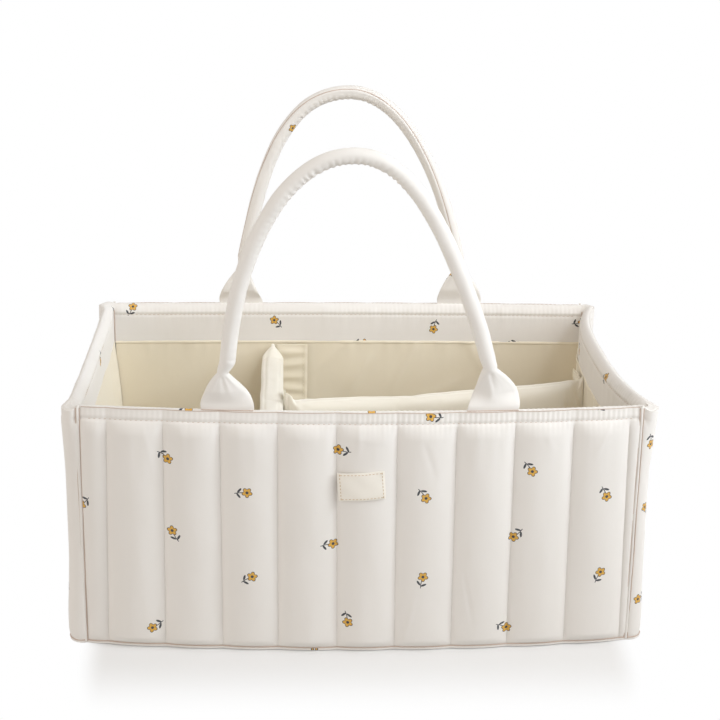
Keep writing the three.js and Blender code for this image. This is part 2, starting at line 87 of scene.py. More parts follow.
def end_wall(side, bow):
    """An end of the caddy, which turns both upright corners."""
    def at(s, inset):
        flat = np.clip(s, -HALF_Y, HALF_Y)
        turn = np.maximum(np.abs(s) - HALF_Y, 0) / CORNER
        reach = CORNER - inset
        straight = SIDE_X - bow * (1 - np.abs(flat / HALF_Y) ** 3) - inset
        x = np.where(turn > 0, HALF_X + reach * np.cos(turn), straight)
        y = np.where(turn > 0, np.sign(s) * (HALF_Y + reach * np.sin(turn)), flat)
        return side * x, y
    return at


WALLS = {
    "front": long_wall(-1, FRONT_BOW),
    "back": long_wall(1, BACK_BOW),
    "left": end_wall(-1, LEFT_BOW),
    "right": end_wall(1, RIGHT_BOW),
}
HALF_RUN = {"front": HALF_X, "back": HALF_X, "left": END_RUN, "right": END_RUN}


def stacked(*columns):
    """Puts coordinates of matching shapes together as points."""
    return np.stack(np.broadcast_arrays(*columns), axis=-1)


def on_wall(name, s, inset, z):
    """A place s along a wall, inset from its outline, at height z."""
    return stacked(*WALLS[name](s, inset), z)


# Uneven cloth

NOISE_CELLS = 97


def soft_noise(u, v, seed):
    """Smooth noise between -1 and 1, with one bump to a unit."""
    lattice = np.random.default_rng(seed).uniform(-1, 1, (NOISE_CELLS, NOISE_CELLS))
    u, v = np.broadcast_arrays(np.asarray(u, float), np.asarray(v, float))
    i, j = np.floor(u).astype(int), np.floor(v).astype(int)
    a, b = u - i, v - j
    a, b = a * a * (3 - 2 * a), b * b * (3 - 2 * b)
    i, j = i % NOISE_CELLS, j % NOISE_CELLS
    right, up = (i + 1) % NOISE_CELLS, (j + 1) % NOISE_CELLS
    low = (1 - a) * lattice[i, j] + a * lattice[right, j]
    high = (1 - a) * lattice[i, up] + a * lattice[right, up]
    return (1 - b) * low + b * high


def waves(u, v, seed, *layers):
    """Layers of soft noise, each (height, pitch along u, pitch along v), on seeds in a row."""
    return sum(high * soft_noise(u / along, v / up, seed + i) for i, (high, along, up) in enumerate(layers))


def gathers(s, z, seed, from_seam, depth, pitch, length, fade):
    """Upright gathers that fade with the distance from the seam that makes them."""
    return depth * soft_noise(s / pitch, z / length, seed) * np.exp(-from_seam / fade)


def bell(value, width):
    """1 at zero, falling away smoothly on both sides."""
    return np.exp(-(value / width) ** 2)


def ease(value, low, high):
    """0 up to low, 1 from high on, and smooth between them."""
    share = np.clip((value - low) / (high - low), 0, 1)
    return share * share * (3 - 2 * share)


def round_off(value, run):
    """Climbs from 0 to 1 over a run, steep at first."""
    return np.sin(pi / 2 * np.clip(value / run, 0, 1))


def fold_lines(u, v, folds):
    """Height of soft ridges. A fold is (u, v, length, slant in degrees, half width, height)."""
    height = np.zeros(np.broadcast(u, v).shape)
    for middle_u, middle_v, length, slant, half_width, rise in folds:
        turn = radians(slant)
        along = (u - middle_u) * cos(turn) + (v - middle_v) * sin(turn)
        across = (v - middle_v) * cos(turn) - (u - middle_u) * sin(turn)
        height += rise * np.exp(-(across / half_width) ** 2 - (2 * along / length) ** 4)
    return height


def bezier(a, b, c, d, count):
    t = np.linspace(0, 1, count)[:, None]
    return (1 - t) ** 3 * a + 3 * (1 - t) ** 2 * t * b + 3 * (1 - t) * t * t * c + t ** 3 * d


def length_along(points):
    steps = np.linalg.norm(np.diff(points, axis=0), axis=-1)
    return np.concatenate([[0], np.cumsum(steps)])


def directions(line):
    """The unit direction of a line at each of its points."""
    tangent = np.gradient(line, axis=0)
    return tangent / np.linalg.norm(tangent, axis=1)[:, None]


def runs(*pieces):
    """Several even runs of numbers in a row, each (from, to, count)."""
    return np.concatenate([np.linspace(*piece) for piece in pieces])


# Mesh tools

def deselect():
    if bpy.context.mode != "OBJECT":
        bpy.ops.object.mode_set(mode="OBJECT")
    bpy.ops.object.select_all(action="DESELECT")


def activate(piece):
    deselect()
    piece.select_set(True)
    bpy.context.view_layer.objects.active = piece


def named(piece, name):
    piece.name = name
    piece.data.name = name
    return piece


def points_of(piece):
    flat = np.empty(3 * len(piece.data.vertices))
    piece.data.vertices.foreach_get("co", flat)
    return flat.reshape(-1, 3) / MM


def set_points(piece, points):
    piece.data.vertices.foreach_set("co", np.ascontiguousarray(points * MM, dtype=float).ravel())
    piece.data.update()


def cloth_grid(name, points, uv):
    """A sheet through rows of points. points is rows by columns by 3, and uv is rows by columns by 2."""
    rows, columns = points.shape[0] - 1, points.shape[1] - 1
    deselect()
    bpy.ops.mesh.primitive_grid_add(x_subdivisions=columns, y_subdivisions=rows, size=1)
    piece = named(bpy.context.object, name)
    unit = points_of(piece) * MM + 0.5
    column = np.rint(unit[:, 0] * columns).astype(int)
    row = np.rint(unit[:, 1] * rows).astype(int)
    set_points(piece, points[row, column])
    corner = np.empty(len(piece.data.loops), dtype=np.int32)
    piece.data.loops.foreach_get("vertex_index", corner)
    piece.data.uv_layers.active.data.foreach_set("uv", (uv[row, column][corner] * MM).ravel())
    return piece


def edit_all(piece):
    activate(piece)
    bpy.ops.object.mode_set(mode="EDIT")
    bpy.ops.mesh.select_all(action="SELECT")


def close_mesh(piece, threshold=1e-6, caps=True):
    """Joins points that meet, caps open ends and turns the faces outwards."""
    edit_all(piece)
    bpy.ops.mesh.remove_doubles(threshold=threshold)
    if caps:
        bpy.ops.mesh.fill_holes(sides=0)
        bpy.ops.mesh.select_all(action="SELECT")
    bpy.ops.mesh.normals_make_consistent(inside=False)
    bpy.ops.object.mode_set(mode="OBJECT")
    return piece


def add_modifier(piece, kind):
    activate(piece)
    bpy.ops.object.modifier_add(type=kind)
    return piece.modifiers[-1]


def apply_modifier(piece):
    activate(piece)
    bpy.ops.object.modifier_apply(modifier=piece.modifiers[-1].name)


def smooth(piece, angle=60):
    activate(piece)
    bpy.ops.object.shade_smooth_by_angle(angle=radians(angle))
    return piece


def finish_piece(piece, material, slot, *replaced, body="caddy"):
    """Dresses a piece, hides the solids it stands for, and hangs it on the body that carries it."""
    piece.data.materials.clear()
    piece.data.materials.append(material)
    if replaced:
        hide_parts(*replaced)
    if body:
        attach(piece, body)
    return piece


def closed_cloth(name, points, uv, angle, material, *replaced, body="caddy"):
    """A closed skin of the outer cloth."""
    piece = smooth(close_mesh(cloth_grid(name, points, uv)), angle)
    return finish_piece(piece, material, "ivory_print", *replaced, body=body)


def cloth_sheet(name, points, uv, thickness, material, slot, node, body="caddy", **sheet):
    """A sheet of cloth with its thickness. sheet, which would give its flat size, how it is held and what it
    rests on, is not used.
    """
    piece = cloth_grid(name, points, uv)
    wall = add_modifier(piece, "SOLIDIFY")
    wall.thickness = thickness * MM
    wall.offset = 0
    apply_modifier(piece)
    finish_piece(smooth(piece), material, slot, node, body=body)
    return piece


def brown_line(name, points, radius, body="caddy", closed=False):
    """A seam line, as a thin round thread through points. Its brown is partly the thread and partly painted
    shade in the seam's crease.
    """
    deselect()
    curve = bpy.data.curves.new(name, "CURVE")
    curve.dimensions = "3D"
    spline = curve.splines.new("POLY")
    spline.points.add(len(points) - 1)
    spline.points.foreach_set("co", np.column_stack([points * MM, np.ones(len(points))]).ravel())
    spline.use_cyclic_u = closed
    curve.bevel_depth = radius * MM
    curve.bevel_resolution = 1
    curve.use_fill_caps = not closed
    piece = bpy.data.objects.new(name, curve)
    bpy.context.collection.objects.link(piece)
    activate(piece)
    bpy.ops.object.convert(target="MESH")
    piece = close_mesh(named(bpy.context.object, name), threshold=1e-7, caps=False)
    finish_piece(smooth(piece), seam_thread_and_painted_shade, "ivory_print", body=body)


def stitch_row(name, count, pitch, length, thickness, place, material, slot, body="caddy"):
    """A row of stitches. place(along, aside, out) puts a stitch's points on the cloth."""
    deselect()
    bpy.ops.mesh.primitive_uv_sphere_add(segments=6, ring_count=5, radius=0.5)
    piece = named(bpy.context.object, name)
    edit_all(piece)
    bpy.ops.transform.rotate(value=pi / 2, orient_axis="Y", center_override=(0, 0, 0))
    bpy.ops.transform.resize(value=(length * MM, thickness * MM, thickness * MM))
    row = add_modifier(piece, "ARRAY")
    row.count = count
    row.use_relative_offset = False
    row.use_constant_offset = True
    row.constant_offset_displace = (pitch * MM, 0, 0)
    apply_modifier(piece)
    local = points_of(piece)
    within = local[:, 0] - np.rint(local[:, 0] / pitch) * pitch
    sunk = local[:, 2] - 0.8 * thickness * (2 * within / length) ** 2
    set_points(piece, place(local[:, 0], local[:, 1], sunk))
    finish_piece(smooth(piece, 80), material, slot, body=body)


# Shader tools

def plug(tree, socket, value):
    """Sets a socket to a value, or links it to a reading or to another node's output."""
    value = getattr(value, "socket", value)
    if isinstance(value, bpy.types.NodeSocket):
        tree.links.new(value, socket)
    else:
        socket.default_value = value


def add_node(tree, kind, inputs=None, **settings):
    """Adds a shader node with its settings and inputs, and gives its outputs."""
    node = tree.nodes.new(f"ShaderNode{kind}")
    for name, value in settings.items():
        setattr(node, name, value)
    for socket, value in (inputs or {}).items():
        plug(tree, node.inputs[socket], value)
    return node.outputs


class Reading:
    """A number in a shader, to reckon with as with any number. The sign | takes the greater of two."""

    def __init__(self, tree, socket):
        self.tree, self.socket = tree, socket

    def do(self, operation, *others):
        node = add_node(self.tree, "Math", dict(enumerate((self, *others))), operation=operation)
        return Reading(self.tree, node[0])


for sign, operation in (("add", "ADD"), ("sub", "SUBTRACT"), ("mul", "MULTIPLY"), ("truediv", "DIVIDE"),
                        ("lt", "LESS_THAN"), ("gt", "GREATER_THAN"), ("or", "MAXIMUM"), ("abs", "ABSOLUTE")):
    setattr(Reading, f"__{sign}__", lambda self, *others, kind=operation: self.do(kind, *others))


def readings(tree, outputs, *names):
    return [Reading(tree, outputs[name]) for name in names]


def reach(a, b):
    """How far a place is that lies a across and b up."""
    return (a * a + b * b).do("SQRT")


def mixed(tree, share, first, second):
    return add_node(tree, "Mix", {"Factor": share, "A": first, "B": second}, data_type="RGBA")["Result"]


def bumped(tree, height, strength, distance, **under):
    inputs = {"Height": height, "Strength": strength, "Distance": distance * MM, **under}
    return add_node(tree, "Bump", inputs)[0]


# Materials

PRINT_REPEAT, SPRIG_SCALE = 57.5, 1.15
PETAL_GOLD, STEM_INK = (0.70, 0.40, 0.075, 1), (0.065, 0.068, 0.075, 1)
# The drawing of a sprig: the flower's height over its middle, its petals, line and eye, then stem and leaves.
FLOWER_UP, PETAL_BASE, PETAL_REACH, LINE_HALF, EYE_RADIUS = 1.7, 1.75, 1.15, 0.2, 0.85
STEM_HALF, STEM_TOP, STEM_FOOT, LEAF_HALF_LONG, LEAF_HALF_WIDE = 0.24, -0.6, -5.4, 1.7, 0.62


def sprig_print():
    """Small five-petalled flowers on stems, in a half-drop repeat. SPRIG_SCALE enlarges the drawing."""
    tree = bpy.data.node_groups.new("sprig_print", "ShaderNodeTree")
    tree.interface.new_socket("Cloth", in_out="INPUT", socket_type="NodeSocketVector")
    for mask in ("Petal", "Ink"):
        tree.interface.new_socket(mask, in_out="OUTPUT", socket_type="NodeSocketFloat")
    given, result = tree.nodes.new("NodeGroupInput"), tree.nodes.new("NodeGroupOutput")

    # Cells of the repeat, each with its own chance shift and turn.
    place = add_node(tree, "SeparateXYZ", {0: given.outputs["Cloth"]})
    across, up = (reading / (PRINT_REPEAT * MM) for reading in readings(tree, place, "X", "Y"))
    column = across.do("FLOOR")
    up = up + column * 0.5
    cell = add_node(tree, "CombineXYZ", {"X": column, "Y": up.do("FLOOR")})[0]
    chance = add_node(tree, "TexWhiteNoise", {"Vector": cell}, noise_dimensions="2D")["Color"]
    red, green, blue = readings(tree, add_node(tree, "SeparateColor", {0: chance}), "Red", "Green", "Blue")

    def local(position, wander):
        return (position.do("FRACT") - 0.5 - (wander - 0.5) * 0.3) * (PRINT_REPEAT / SPRIG_SCALE)

    spot = add_node(tree, "CombineXYZ", {"X": local(across, red), "Y": local(up, green)})[0]
    turn = {"Vector": spot, "Angle": blue * (2 * pi)}
    turned = add_node(tree, "VectorRotate", turn, rotation_type="Z_AXIS")[0]
    x, y = readings(tree, add_node(tree, "SeparateXYZ", {0: turned}), "X", "Y")

    # The flower: five lobes with a drawn edge, and an eye.
    raised = y - FLOWER_UP
    radius = reach(x, raised)
    lobes = abs((raised.do("ARCTAN2", x) * 2.5).do("COSINE"))
    edge = lobes * PETAL_REACH + PETAL_BASE
    outline, eye = abs(radius - edge) < LINE_HALF, radius < EYE_RADIUS

    # The stem with two leaves.
    stem = (abs(x - y * y * 0.03) < STEM_HALF) * ((y < STEM_TOP) * (y > STEM_FOOT))

    def leaf(middle_x, middle_y, lean):
        cosine, sine = cos(radians(lean)), sin(radians(lean))
        a, b = x - middle_x, y - middle_y
        along, aside = a * cosine + b * sine, b * cosine - a * sine
        return reach(along / LEAF_HALF_LONG, aside / LEAF_HALF_WIDE) < 1.0

    ink = (outline | eye) | (stem | (leaf(-1.25, -2.6, 140) | leaf(1.9, -3.1, 38)))
    plug(tree, result.inputs["Petal"], radius < edge)
    plug(tree, result.inputs["Ink"], ink)
    return tree


def toned_material(name, light, shade, scale, detail, surface):
    """A material that drifts between two tones. surface gives the shader's values by name."""
    material = bpy.data.materials.new(name)
    material.use_nodes = True
    tree = material.node_tree
    shader = tree.nodes["Principled BSDF"].inputs
    for socket, value in surface.items():
        shader[socket].default_value = value
    place = add_node(tree, "TexCoord")["Object"]
    drift = add_node(tree, "TexNoise", {"Vector": place, "Scale": scale, "Detail": detail})["Fac"]
    return material, shader, place, drift, mixed(tree, drift, (*shade, 1), (*light, 1))


def cloth_material(name, light, shade, thread, roughness, sheen, weave=0.12, printed=None):
    """Woven cloth on the piece's own cloth map: colour drift, threads, and an optional print."""
    surface = {"Roughness": roughness, "Sheen Weight": sheen, "Sheen Roughness": 0.45,
               "Specular IOR Level": 0.3}
    material, shader, place, _, colour = toned_material(name, light, shade, 28, 3, surface)
    tree = material.node_tree
    cloth = add_node(tree, "UVMap")[0]
    if printed:
        motif = add_node(tree, "Group", {"Cloth": cloth}, node_tree=printed)
        for mask, dye in (("Petal", PETAL_GOLD), ("Ink", STEM_INK)):
            colour = mixed(tree, motif[mask], colour, dye)
    plug(tree, shader["Base Color"], colour)
    turns = 2 * pi / (thread * MM)
    run = readings(tree, add_node(tree, "SeparateXYZ", {0: cloth}), "X", "Y")
    warp, weft = ((reading * turns).do("SINE") for reading in run)
    threads = bumped(tree, warp * weft, weave, 0.1)
    rumple = add_node(tree, "TexNoise", {"Vector": place, "Scale": 150, "Detail": 4})["Fac"]
    plug(tree, shader["Normal"], bumped(tree, rumple, 0.35, 0.25, Normal=threads))
    return material


def solid_material(name, light, shade, roughness, grain, depth, sheen=0.0):
    """A material on object coordinates, for threads, board, foam, cord and tape."""
    surface = {"Roughness": roughness, "Sheen Weight": sheen, "Specular IOR Level": 0.25}
    material, shader, _, speck, colour = toned_material(name, light, shade, grain, 5, surface)
    plug(material.node_tree, shader["Base Color"], colour)
    plug(material.node_tree, shader["Normal"], bumped(material.node_tree, speck, 0.5, depth))
    return material


IVORY = ((0.835, 0.803, 0.765), (0.805, 0.772, 0.73), 0.55, 0.58, 0.18)
printed_ivory = cloth_material("printed_ivory", *IVORY, printed=sprig_print())
plain_ivory = cloth_material("plain_ivory", *IVORY)
# The lining and the divider pads are one cream cloth. The lining's darker, more saturated cream is painted
# shade from light bouncing about inside the caddy, and the pads' paler cream is painted light from above.
cream_lining = cloth_material("cream_lining", (0.845, 0.774, 0.628), (0.815, 0.735, 0.583), 0.5, 0.5, 0.35)
cream_pad_painted_light = cloth_material("cream_pad_painted_light", (0.855, 0.81, 0.715), (0.825, 0.775, 0.67), 0.5, 0.5, 0.35)
label_cotton = cloth_material(
    "label_cotton", (0.93, 0.89, 0.815), (0.88, 0.83, 0.745), 0.9, 0.85, 0.1, weave=0.6)
# The seam lines' brown is partly the thread's colour and partly painted shade in the seams' creases.
seam_thread_and_painted_shade = solid_material("seam_thread_and_painted_shade", (0.62, 0.50, 0.43), (0.56, 0.44, 0.37), 0.8, 900, 0.05)
stitch_thread = solid_material("stitch_thread", (0.72, 0.64, 0.57), (0.65, 0.56, 0.49), 0.7, 1200, 0.05)
label_thread = solid_material("label_thread", (0.68, 0.53, 0.36), (0.58, 0.43, 0.27), 0.7, 1200, 0.05)
cream_thread = solid_material("cream_thread", (0.85, 0.80, 0.66), (0.78, 0.72, 0.56), 0.7, 1200, 0.05)
grey_board = solid_material("grey_board", (0.50, 0.48, 0.43), (0.42, 0.40, 0.35), 0.85, 300, 0.1)
white_foam = solid_material("white_foam", (0.88, 0.87, 0.83), (0.78, 0.77, 0.72), 0.9, 700, 0.4)
white_cord = solid_material("white_cord", (0.86, 0.86, 0.84), (0.74, 0.74, 0.72), 0.9, 500, 0.3, sheen=0.2)
hook_nylon = solid_material("hook_nylon", (0.80, 0.76, 0.62), (0.58, 0.54, 0.42), 0.6, 1500, 0.35)
loop_nylon = solid_material("loop_nylon", (0.82, 0.78, 0.65), (0.70, 0.66, 0.52), 0.95, 900, 0.3, sheen=0.4)


# Camera, light and floor, in metres

CAMERA_PLACE, CAMERA_LENS = (-0.04884, -1.10783, 0.51908), 82.38
CAMERA_ANGLES = (17.98, -2.704, 0.976)


def add_camera():
    """The camera that fits the photo. Its angles are the pitch down, the turn and the roll."""
    pitch, yaw, roll = (radians(angle) for angle in CAMERA_ANGLES)
    ahead = Vector((-sin(yaw) * cos(pitch), cos(yaw) * cos(pitch), -sin(pitch)))
    across = Vector((cos(yaw), sin(yaw), 0))
    above = across.cross(ahead)
    right = cos(roll) * across + sin(roll) * above
    up = cos(roll) * above - sin(roll) * across
    deselect()
    bpy.ops.object.camera_add(location=CAMERA_PLACE)
    camera = bpy.context.object
    camera.rotation_euler = Matrix((right, up, -ahead)).transposed().to_euler()
    camera.data.sensor_width = 36
    camera.data.lens = CAMERA_LENS
    camera.data.clip_start = 0.01
    bpy.context.scene.camera = camera


def add_lamp(name, place, target, size, power, colour, cone=None):
    """A round soft lamp, or with a cone in degrees a narrow soft beam."""
    deselect()
    bpy.ops.object.light_add(type="SPOT" if cone else "AREA", location=place)
    lamp = named(bpy.context.object, name)
    lamp.rotation_euler = (Vector(target) - Vector(place)).to_track_quat("-Z", "Y").to_euler()
    lamp.data.energy = power
    lamp.data.color = colour
    if cone:
        lamp.data.spot_size = radians(cone)
        lamp.data.spot_blend = 1
        lamp.data.shadow_soft_size = size
    else:
        lamp.data.shape = "DISK"
        lamp.data.size = size


def add_world():
    """A soft warm light from all round, which the camera sees as white."""
    world = bpy.data.worlds.new("studio")
    bpy.context.scene.world = world
    world.use_nodes = True
    tree = world.node_tree
    light = tree.nodes["Background"]
    light.inputs["Color"].default_value = (1, 0.96, 0.91, 1)
    light.inputs["Strength"].default_value = 0.565
    white = add_node(tree, "Background", {"Color": (1, 1, 1, 1), "Strength": 1})[0]
    path = add_node(tree, "LightPath")
    seen, mirrored, through = readings(tree, path, "Is Camera Ray", "Is Glossy Ray", "Is Transmission Ray")
    mix = add_node(tree, "MixShader", {0: seen | (mirrored | through), 1: light.outputs[0], 2: white})[0]
    plug(tree, tree.nodes["World Output"].inputs["Surface"], mix)


def add_floor():
    """A pale floor that keeps the shade in front of the caddy and clears to white around it."""
    deselect()
    bpy.ops.mesh.primitive_plane_add(size=12, location=(0, 0, 0))
    floor = named(bpy.context.object, "studio_floor")
    material = bpy.data.materials.new("white_floor")
    material.use_nodes = True
    tree = material.node_tree
    tree.nodes.remove(tree.nodes["Principled BSDF"])
    seen, mirrored = readings(tree, add_node(tree, "LightPath"), "Is Camera Ray", "Is Glossy Ray")
    seen = seen | mirrored
    paper = add_node(tree, "BsdfDiffuse", {"Color": (0.7, 0.7, 0.7, 1)})[0]
    glow = add_node(tree, "Emission", {"Strength": seen * 0.12})[0]
    near = add_node(tree, "AddShader", {0: paper, 1: glow})[0]
    white = add_node(tree, "Emission")[0]
    place = add_node(tree, "SeparateXYZ", {0: add_node(tree, "TexCoord")["Object"]})
    x, y = readings(tree, place, "X", "Y")
    away = reach(((abs(x) - 0.163) | 0.0) * 4.0, ((abs(y) - 0.128) | 0.0) * 1.0)
    clearing = {"Value": away, "From Min": 0.01, "From Max": 0.085}
    far = add_node(tree, "MapRange", clearing, interpolation_type="SMOOTHSTEP")["Result"]
    mix = add_node(tree, "MixShader", {0: seen * far, 1: near, 2: white})[0]
    plug(tree, tree.nodes["Material Output"].inputs["Surface"], mix)
    floor.data.materials.append(material)


add_camera()
add_world()
add_floor()
add_lamp("high_key_lamp", (1.3, -0.6, 1.4), (0, 0, 0.1), 1.0, 14, (0.98, 0.99, 1))
add_lamp("low_key_lamp", (1.7, -0.7, 0.75), (0, 0, 0.1), 1.0, 6, (0.9, 0.95, 1))
add_lamp("left_fill_lamp", (-1.8, -0.9, 0.8), (0, 0, 0.1), 1.2, 9, (1, 0.91, 0.83))
add_lamp("inner_beam", (1.5, -0.35, 0.85), (-0.17, 0, 0.15), 0.2, 95, (0.76, 0.88, 1), cone=11)
add_lamp("upper_beam", (0.5, -1.6, 1.3), (0.02, 0.11, 0.23), 0.2, 46, (0.84, 0.92, 1), cone=13)
bpy.context.scene.view_settings.view_transform = "Standard"


# Quilted panels

# Short creases, one to each CREASE_PITCH of a panel: the share of them at the hem, and their ranges.
CREASE_PITCH, SHARE_AT_HEM = 16, 0.6
CREASE_AT_HEM, CREASE_AT_FOOT, CREASE_LENGTH = (128, 156), (6, 40), (16, 44)
CREASE_SLANT, CREASE_HALF_WIDTH, CREASE_HEIGHT = 24, (1.2, 2.6), (-0.4, 0.45)


def panel_folds(first, last, seed):
    """Soft creases that run into the hem and the base seam, for fold_lines."""
    chance = np.random.default_rng(seed)
    folds = []
    for _ in range(int((last - first) / CREASE_PITCH)):
        at_hem = chance.random() < SHARE_AT_HEM
        middle = chance.uniform(*(CREASE_AT_HEM if at_hem else CREASE_AT_FOOT))
        slant = 90 + chance.normal(0, CREASE_SLANT)
        length = chance.uniform(*CREASE_LENGTH)
        folds.append((chance.uniform(first, last), middle, length, slant,
                      chance.uniform(*CREASE_HALF_WIDTH), chance.uniform(*CREASE_HEIGHT)))
    return folds


def quilting(feet, tops, seed, crown, **corners):
    """A panel by the feet and tops of its stitch lines and its crown, the height of a full channel.

    corners is for a panel that turns the corners: roll is how far the cloth stands out there at each of
    ROLL_HEIGHTS, and back_top is the share of it left at the top of the back corner.
    """
    folds = panel_folds(feet[0], feet[-1], seed)
    return dict(feet=np.array(feet), tops=np.array(tops), seed=seed, crown=crown, folds=folds,
                turns=bool(corners), **corners)


ROLL_HEIGHTS = [0, 18, 38, 58, 90, 120, 140, 153, 163]
PANELS = {
    "front": quilting(FRONT_LINE_FEET, FRONT_LINE_TOPS, 3, 5.0),
    "back": quilting(BACK_LINES, BACK_LINES, 17, 4.2),
    "left": quilting(END_LINES, END_LINES, 29, 2.8,
                     roll=[3.6, 3.6, 2.7, 1.8, 1.7, 1.7, 2.4, 3.0, 2.8], back_top=1.0),
    "right": quilting(END_LINES, END_LINES, 41, 2.8,
                      roll=[2.2, 2.4, 1.5, 1.0, 0.8, 0.8, 1.8, 3.4, 4.2], back_top=0.3),
}
# Powers that flatten the swell of a channel and of a corner roll, and lessen it in a narrow channel.
CHANNEL_POWER, ROLL_POWER, NARROW_POWER = 0.84, 0.55, 0.8
# A corner roll begins this far before the corner, is full just past it, and ends this far from the seam.
ROLL_BEFORE, ROLL_PAST, ROLL_TO_SEAM = 8, 1, 6
BACK_ROLL_FADE = (115, 150)
FRONT_CORNER_DIP, BACK_CORNER_RISE = 2.4, 0.6
# Shares of the fullness left at the base seam and at the hem, and how it grows from them.
FOOT_SHARE, CORNER_FOOT_SHARE, END_HEM_SHARE, LONG_HEM_SHARE = 0.28, 0.8, 0.08, 0.26
FOOT_RUN, FOOT_POWER, HEM_RUN, HEM_POWER = 6.5, 0.85, 10, 0.75
# Depth of the hem's puckers, how much more or less it is by chance and to the right, and how far they fade.
PUCKER, PUCKER_CHANCE, PUCKER_TO_RIGHT, PUCKER_FADE = 0.10, 0.07, 0.06, 3
HEM_GROOVE, GROOVE_WIDTH = 0.4, 1.1
# Waves of the cloth, and its gathers at its seams, each (depth, pitch, length, how far they fade).
FACE_WAVES = (0.5, 24, 52), (0.16, 8, 23)
HEM_GATHERS, FOOT_GATHERS = (0.5, 4.6, 60, 15), (0.35, 6.5, 60, 10)
# Heights of a panel's rows, closer at the foot and the hem, and its flat back as (inset, height).
PANEL_ROWS = runs((1.5, 2.6, 3), (3.2, 12, 12), (14, 140, 46), (142, 156.5, 14), (157.2, 166.1, 15))
PANEL_BACK = np.array([(4.3, 165), (4.2, 160), (4.1, 80), (4.1, 2)])
# Where each kind of piece is cut from the cloth, so that no two show the same part of the print.
PANEL_CUT, FACING_CUT, HANDLE_CUT, BASE_CUT, SEAM_CUT = (110, 70), (310, 170), (50, 13), (400, 400), (900, 20)


def line_places(panel, z):
    """Where the panel's stitch lines are at a height, each along the last axis."""
    up = np.clip(z / HEM_STITCH, 0, 1)
    return panel["feet"] + up * (panel["tops"] - panel["feet"])


def channel_crown(panel, s, z):
    """How far the quilted cloth stands out between its stitch lines."""
    lines = np.moveaxis(line_places(panel, np.asarray(z, float)[..., None]), -1, 0)
    crown = np.zeros(np.broadcast(s, z).shape)
    last = len(lines) - 2
    for i, (low, high) in enumerate(zip(lines, lines[1:])):
        share = (s - low) / (high - low)
        bulge = np.clip(4 * share * (1 - share), 0, 1) ** CHANNEL_POWER
        full = panel["crown"] * np.minimum(1, (high - low) / QUILT_PITCH) ** NARROW_POWER
        if panel["turns"] and i in (0, last):
            bulge = bulge ** ROLL_POWER
            full = np.interp(z, ROLL_HEIGHTS, panel["roll"])
            if i == last:
                full = full * (1 - (1 - panel["back_top"]) * ease(z, *BACK_ROLL_FADE))
        crown = np.where((share >= 0) & (share <= 1), full * bulge, crown)
    return crown


def corner_share(panel, s):
    """1 on the roll where an end panel turns the corner, 0 along the wall and at the corner seam."""
    if not panel["turns"]:
        return np.zeros(np.shape(s))
    far = np.abs(s)
    begun = ease(far, HALF_Y - ROLL_BEFORE, HALF_Y + ROLL_PAST)
    ended = ease(far, END_RUN - ROLL_TO_SEAM, END_RUN)
    return begun * (1 - ended)


def edge_lift(panel, s, z):
    """The top edge dips on the roll at each front corner and rises a little to each back corner."""
    lift = np.where(s < 0, -FRONT_CORNER_DIP, BACK_CORNER_RISE)
    return lift * corner_share(panel, s) * ease(z, LIFT_FROM, FACE_TOP)


def foot_fullness(panel, s):
    """Share of the quilting's fullness left at the base seam, more at the corners."""
    return FOOT_SHARE + (CORNER_FOOT_SHARE - FOOT_SHARE) * corner_share(panel, s)


def hem_pucker(panel, s):
    """Small puckers between the stitches of the hem, stronger to the right."""
    strength = PUCKER + PUCKER_CHANCE * soft_noise(s / 38, 0.5, panel["seed"] + 1)
    strength = strength + PUCKER_TO_RIGHT * ease(s, -20, 90)
    wander = 1.3 * soft_noise(s / 17, 3.5, panel["seed"] + 2)
    return strength * np.cos(2 * pi * s / STITCH_PITCH + wander)


def face_inset(panel, s, z):
    """Inset of the quilted face at a place along the wall and a height."""
    seed, corner = panel["seed"], corner_share(panel, s)
    above, below = z > HEM_STITCH, np.maximum(HEM_STITCH - z, 0)
    low = round_off(z - BASE_SEAM, FOOT_RUN) ** FOOT_POWER
    high = round_off(HEM_STITCH - z, HEM_RUN) ** HEM_POWER
    in_foot = foot_fullness(panel, s)
    in_hem = END_HEM_SHARE if panel["turns"] else LONG_HEM_SHARE
    share = (in_foot + (1 - in_foot) * low) * (in_hem + (1 - in_hem) * np.maximum(high, corner))
    uneven = waves(s, z, seed + 3, *FACE_WAVES)
    at_hem = gathers(s, z, seed + 5, below, *HEM_GATHERS)
    at_foot = gathers(s, z, seed + 6, z, *FOOT_GATHERS)
    slack = uneven + np.where(above, 0.25, 1) * at_hem + at_foot
    slack = slack * np.minimum(1, share) * (0.3 + 0.7 * low)
    pucker = hem_pucker(panel, s) * np.where(above, 1, np.exp(-below / PUCKER_FADE))
    groove = HEM_GROOVE * bell(z - HEM_STITCH, GROOVE_WIDTH)
    lean = ease(z, HEM_STITCH + 1, FACE_TOP + 1)
    out = share * channel_crown(panel, s, z) + slack + fold_lines(s, z, panel["folds"])
    return STITCH_INSET - out + (lean + groove - pucker) * (1 - corner)


def channel_columns(panel, fine):
    """Places along a panel as (channel, share), with a column on every stitch line."""
    counts = [max(4, int(round(width / fine))) for width in np.diff(panel["tops"])]
    channel = np.repeat(np.arange(len(counts)), counts)
    share = np.concatenate([np.arange(count) / count for count in counts])
    return np.append(channel, channel[-1]), np.append(share, 1.0)


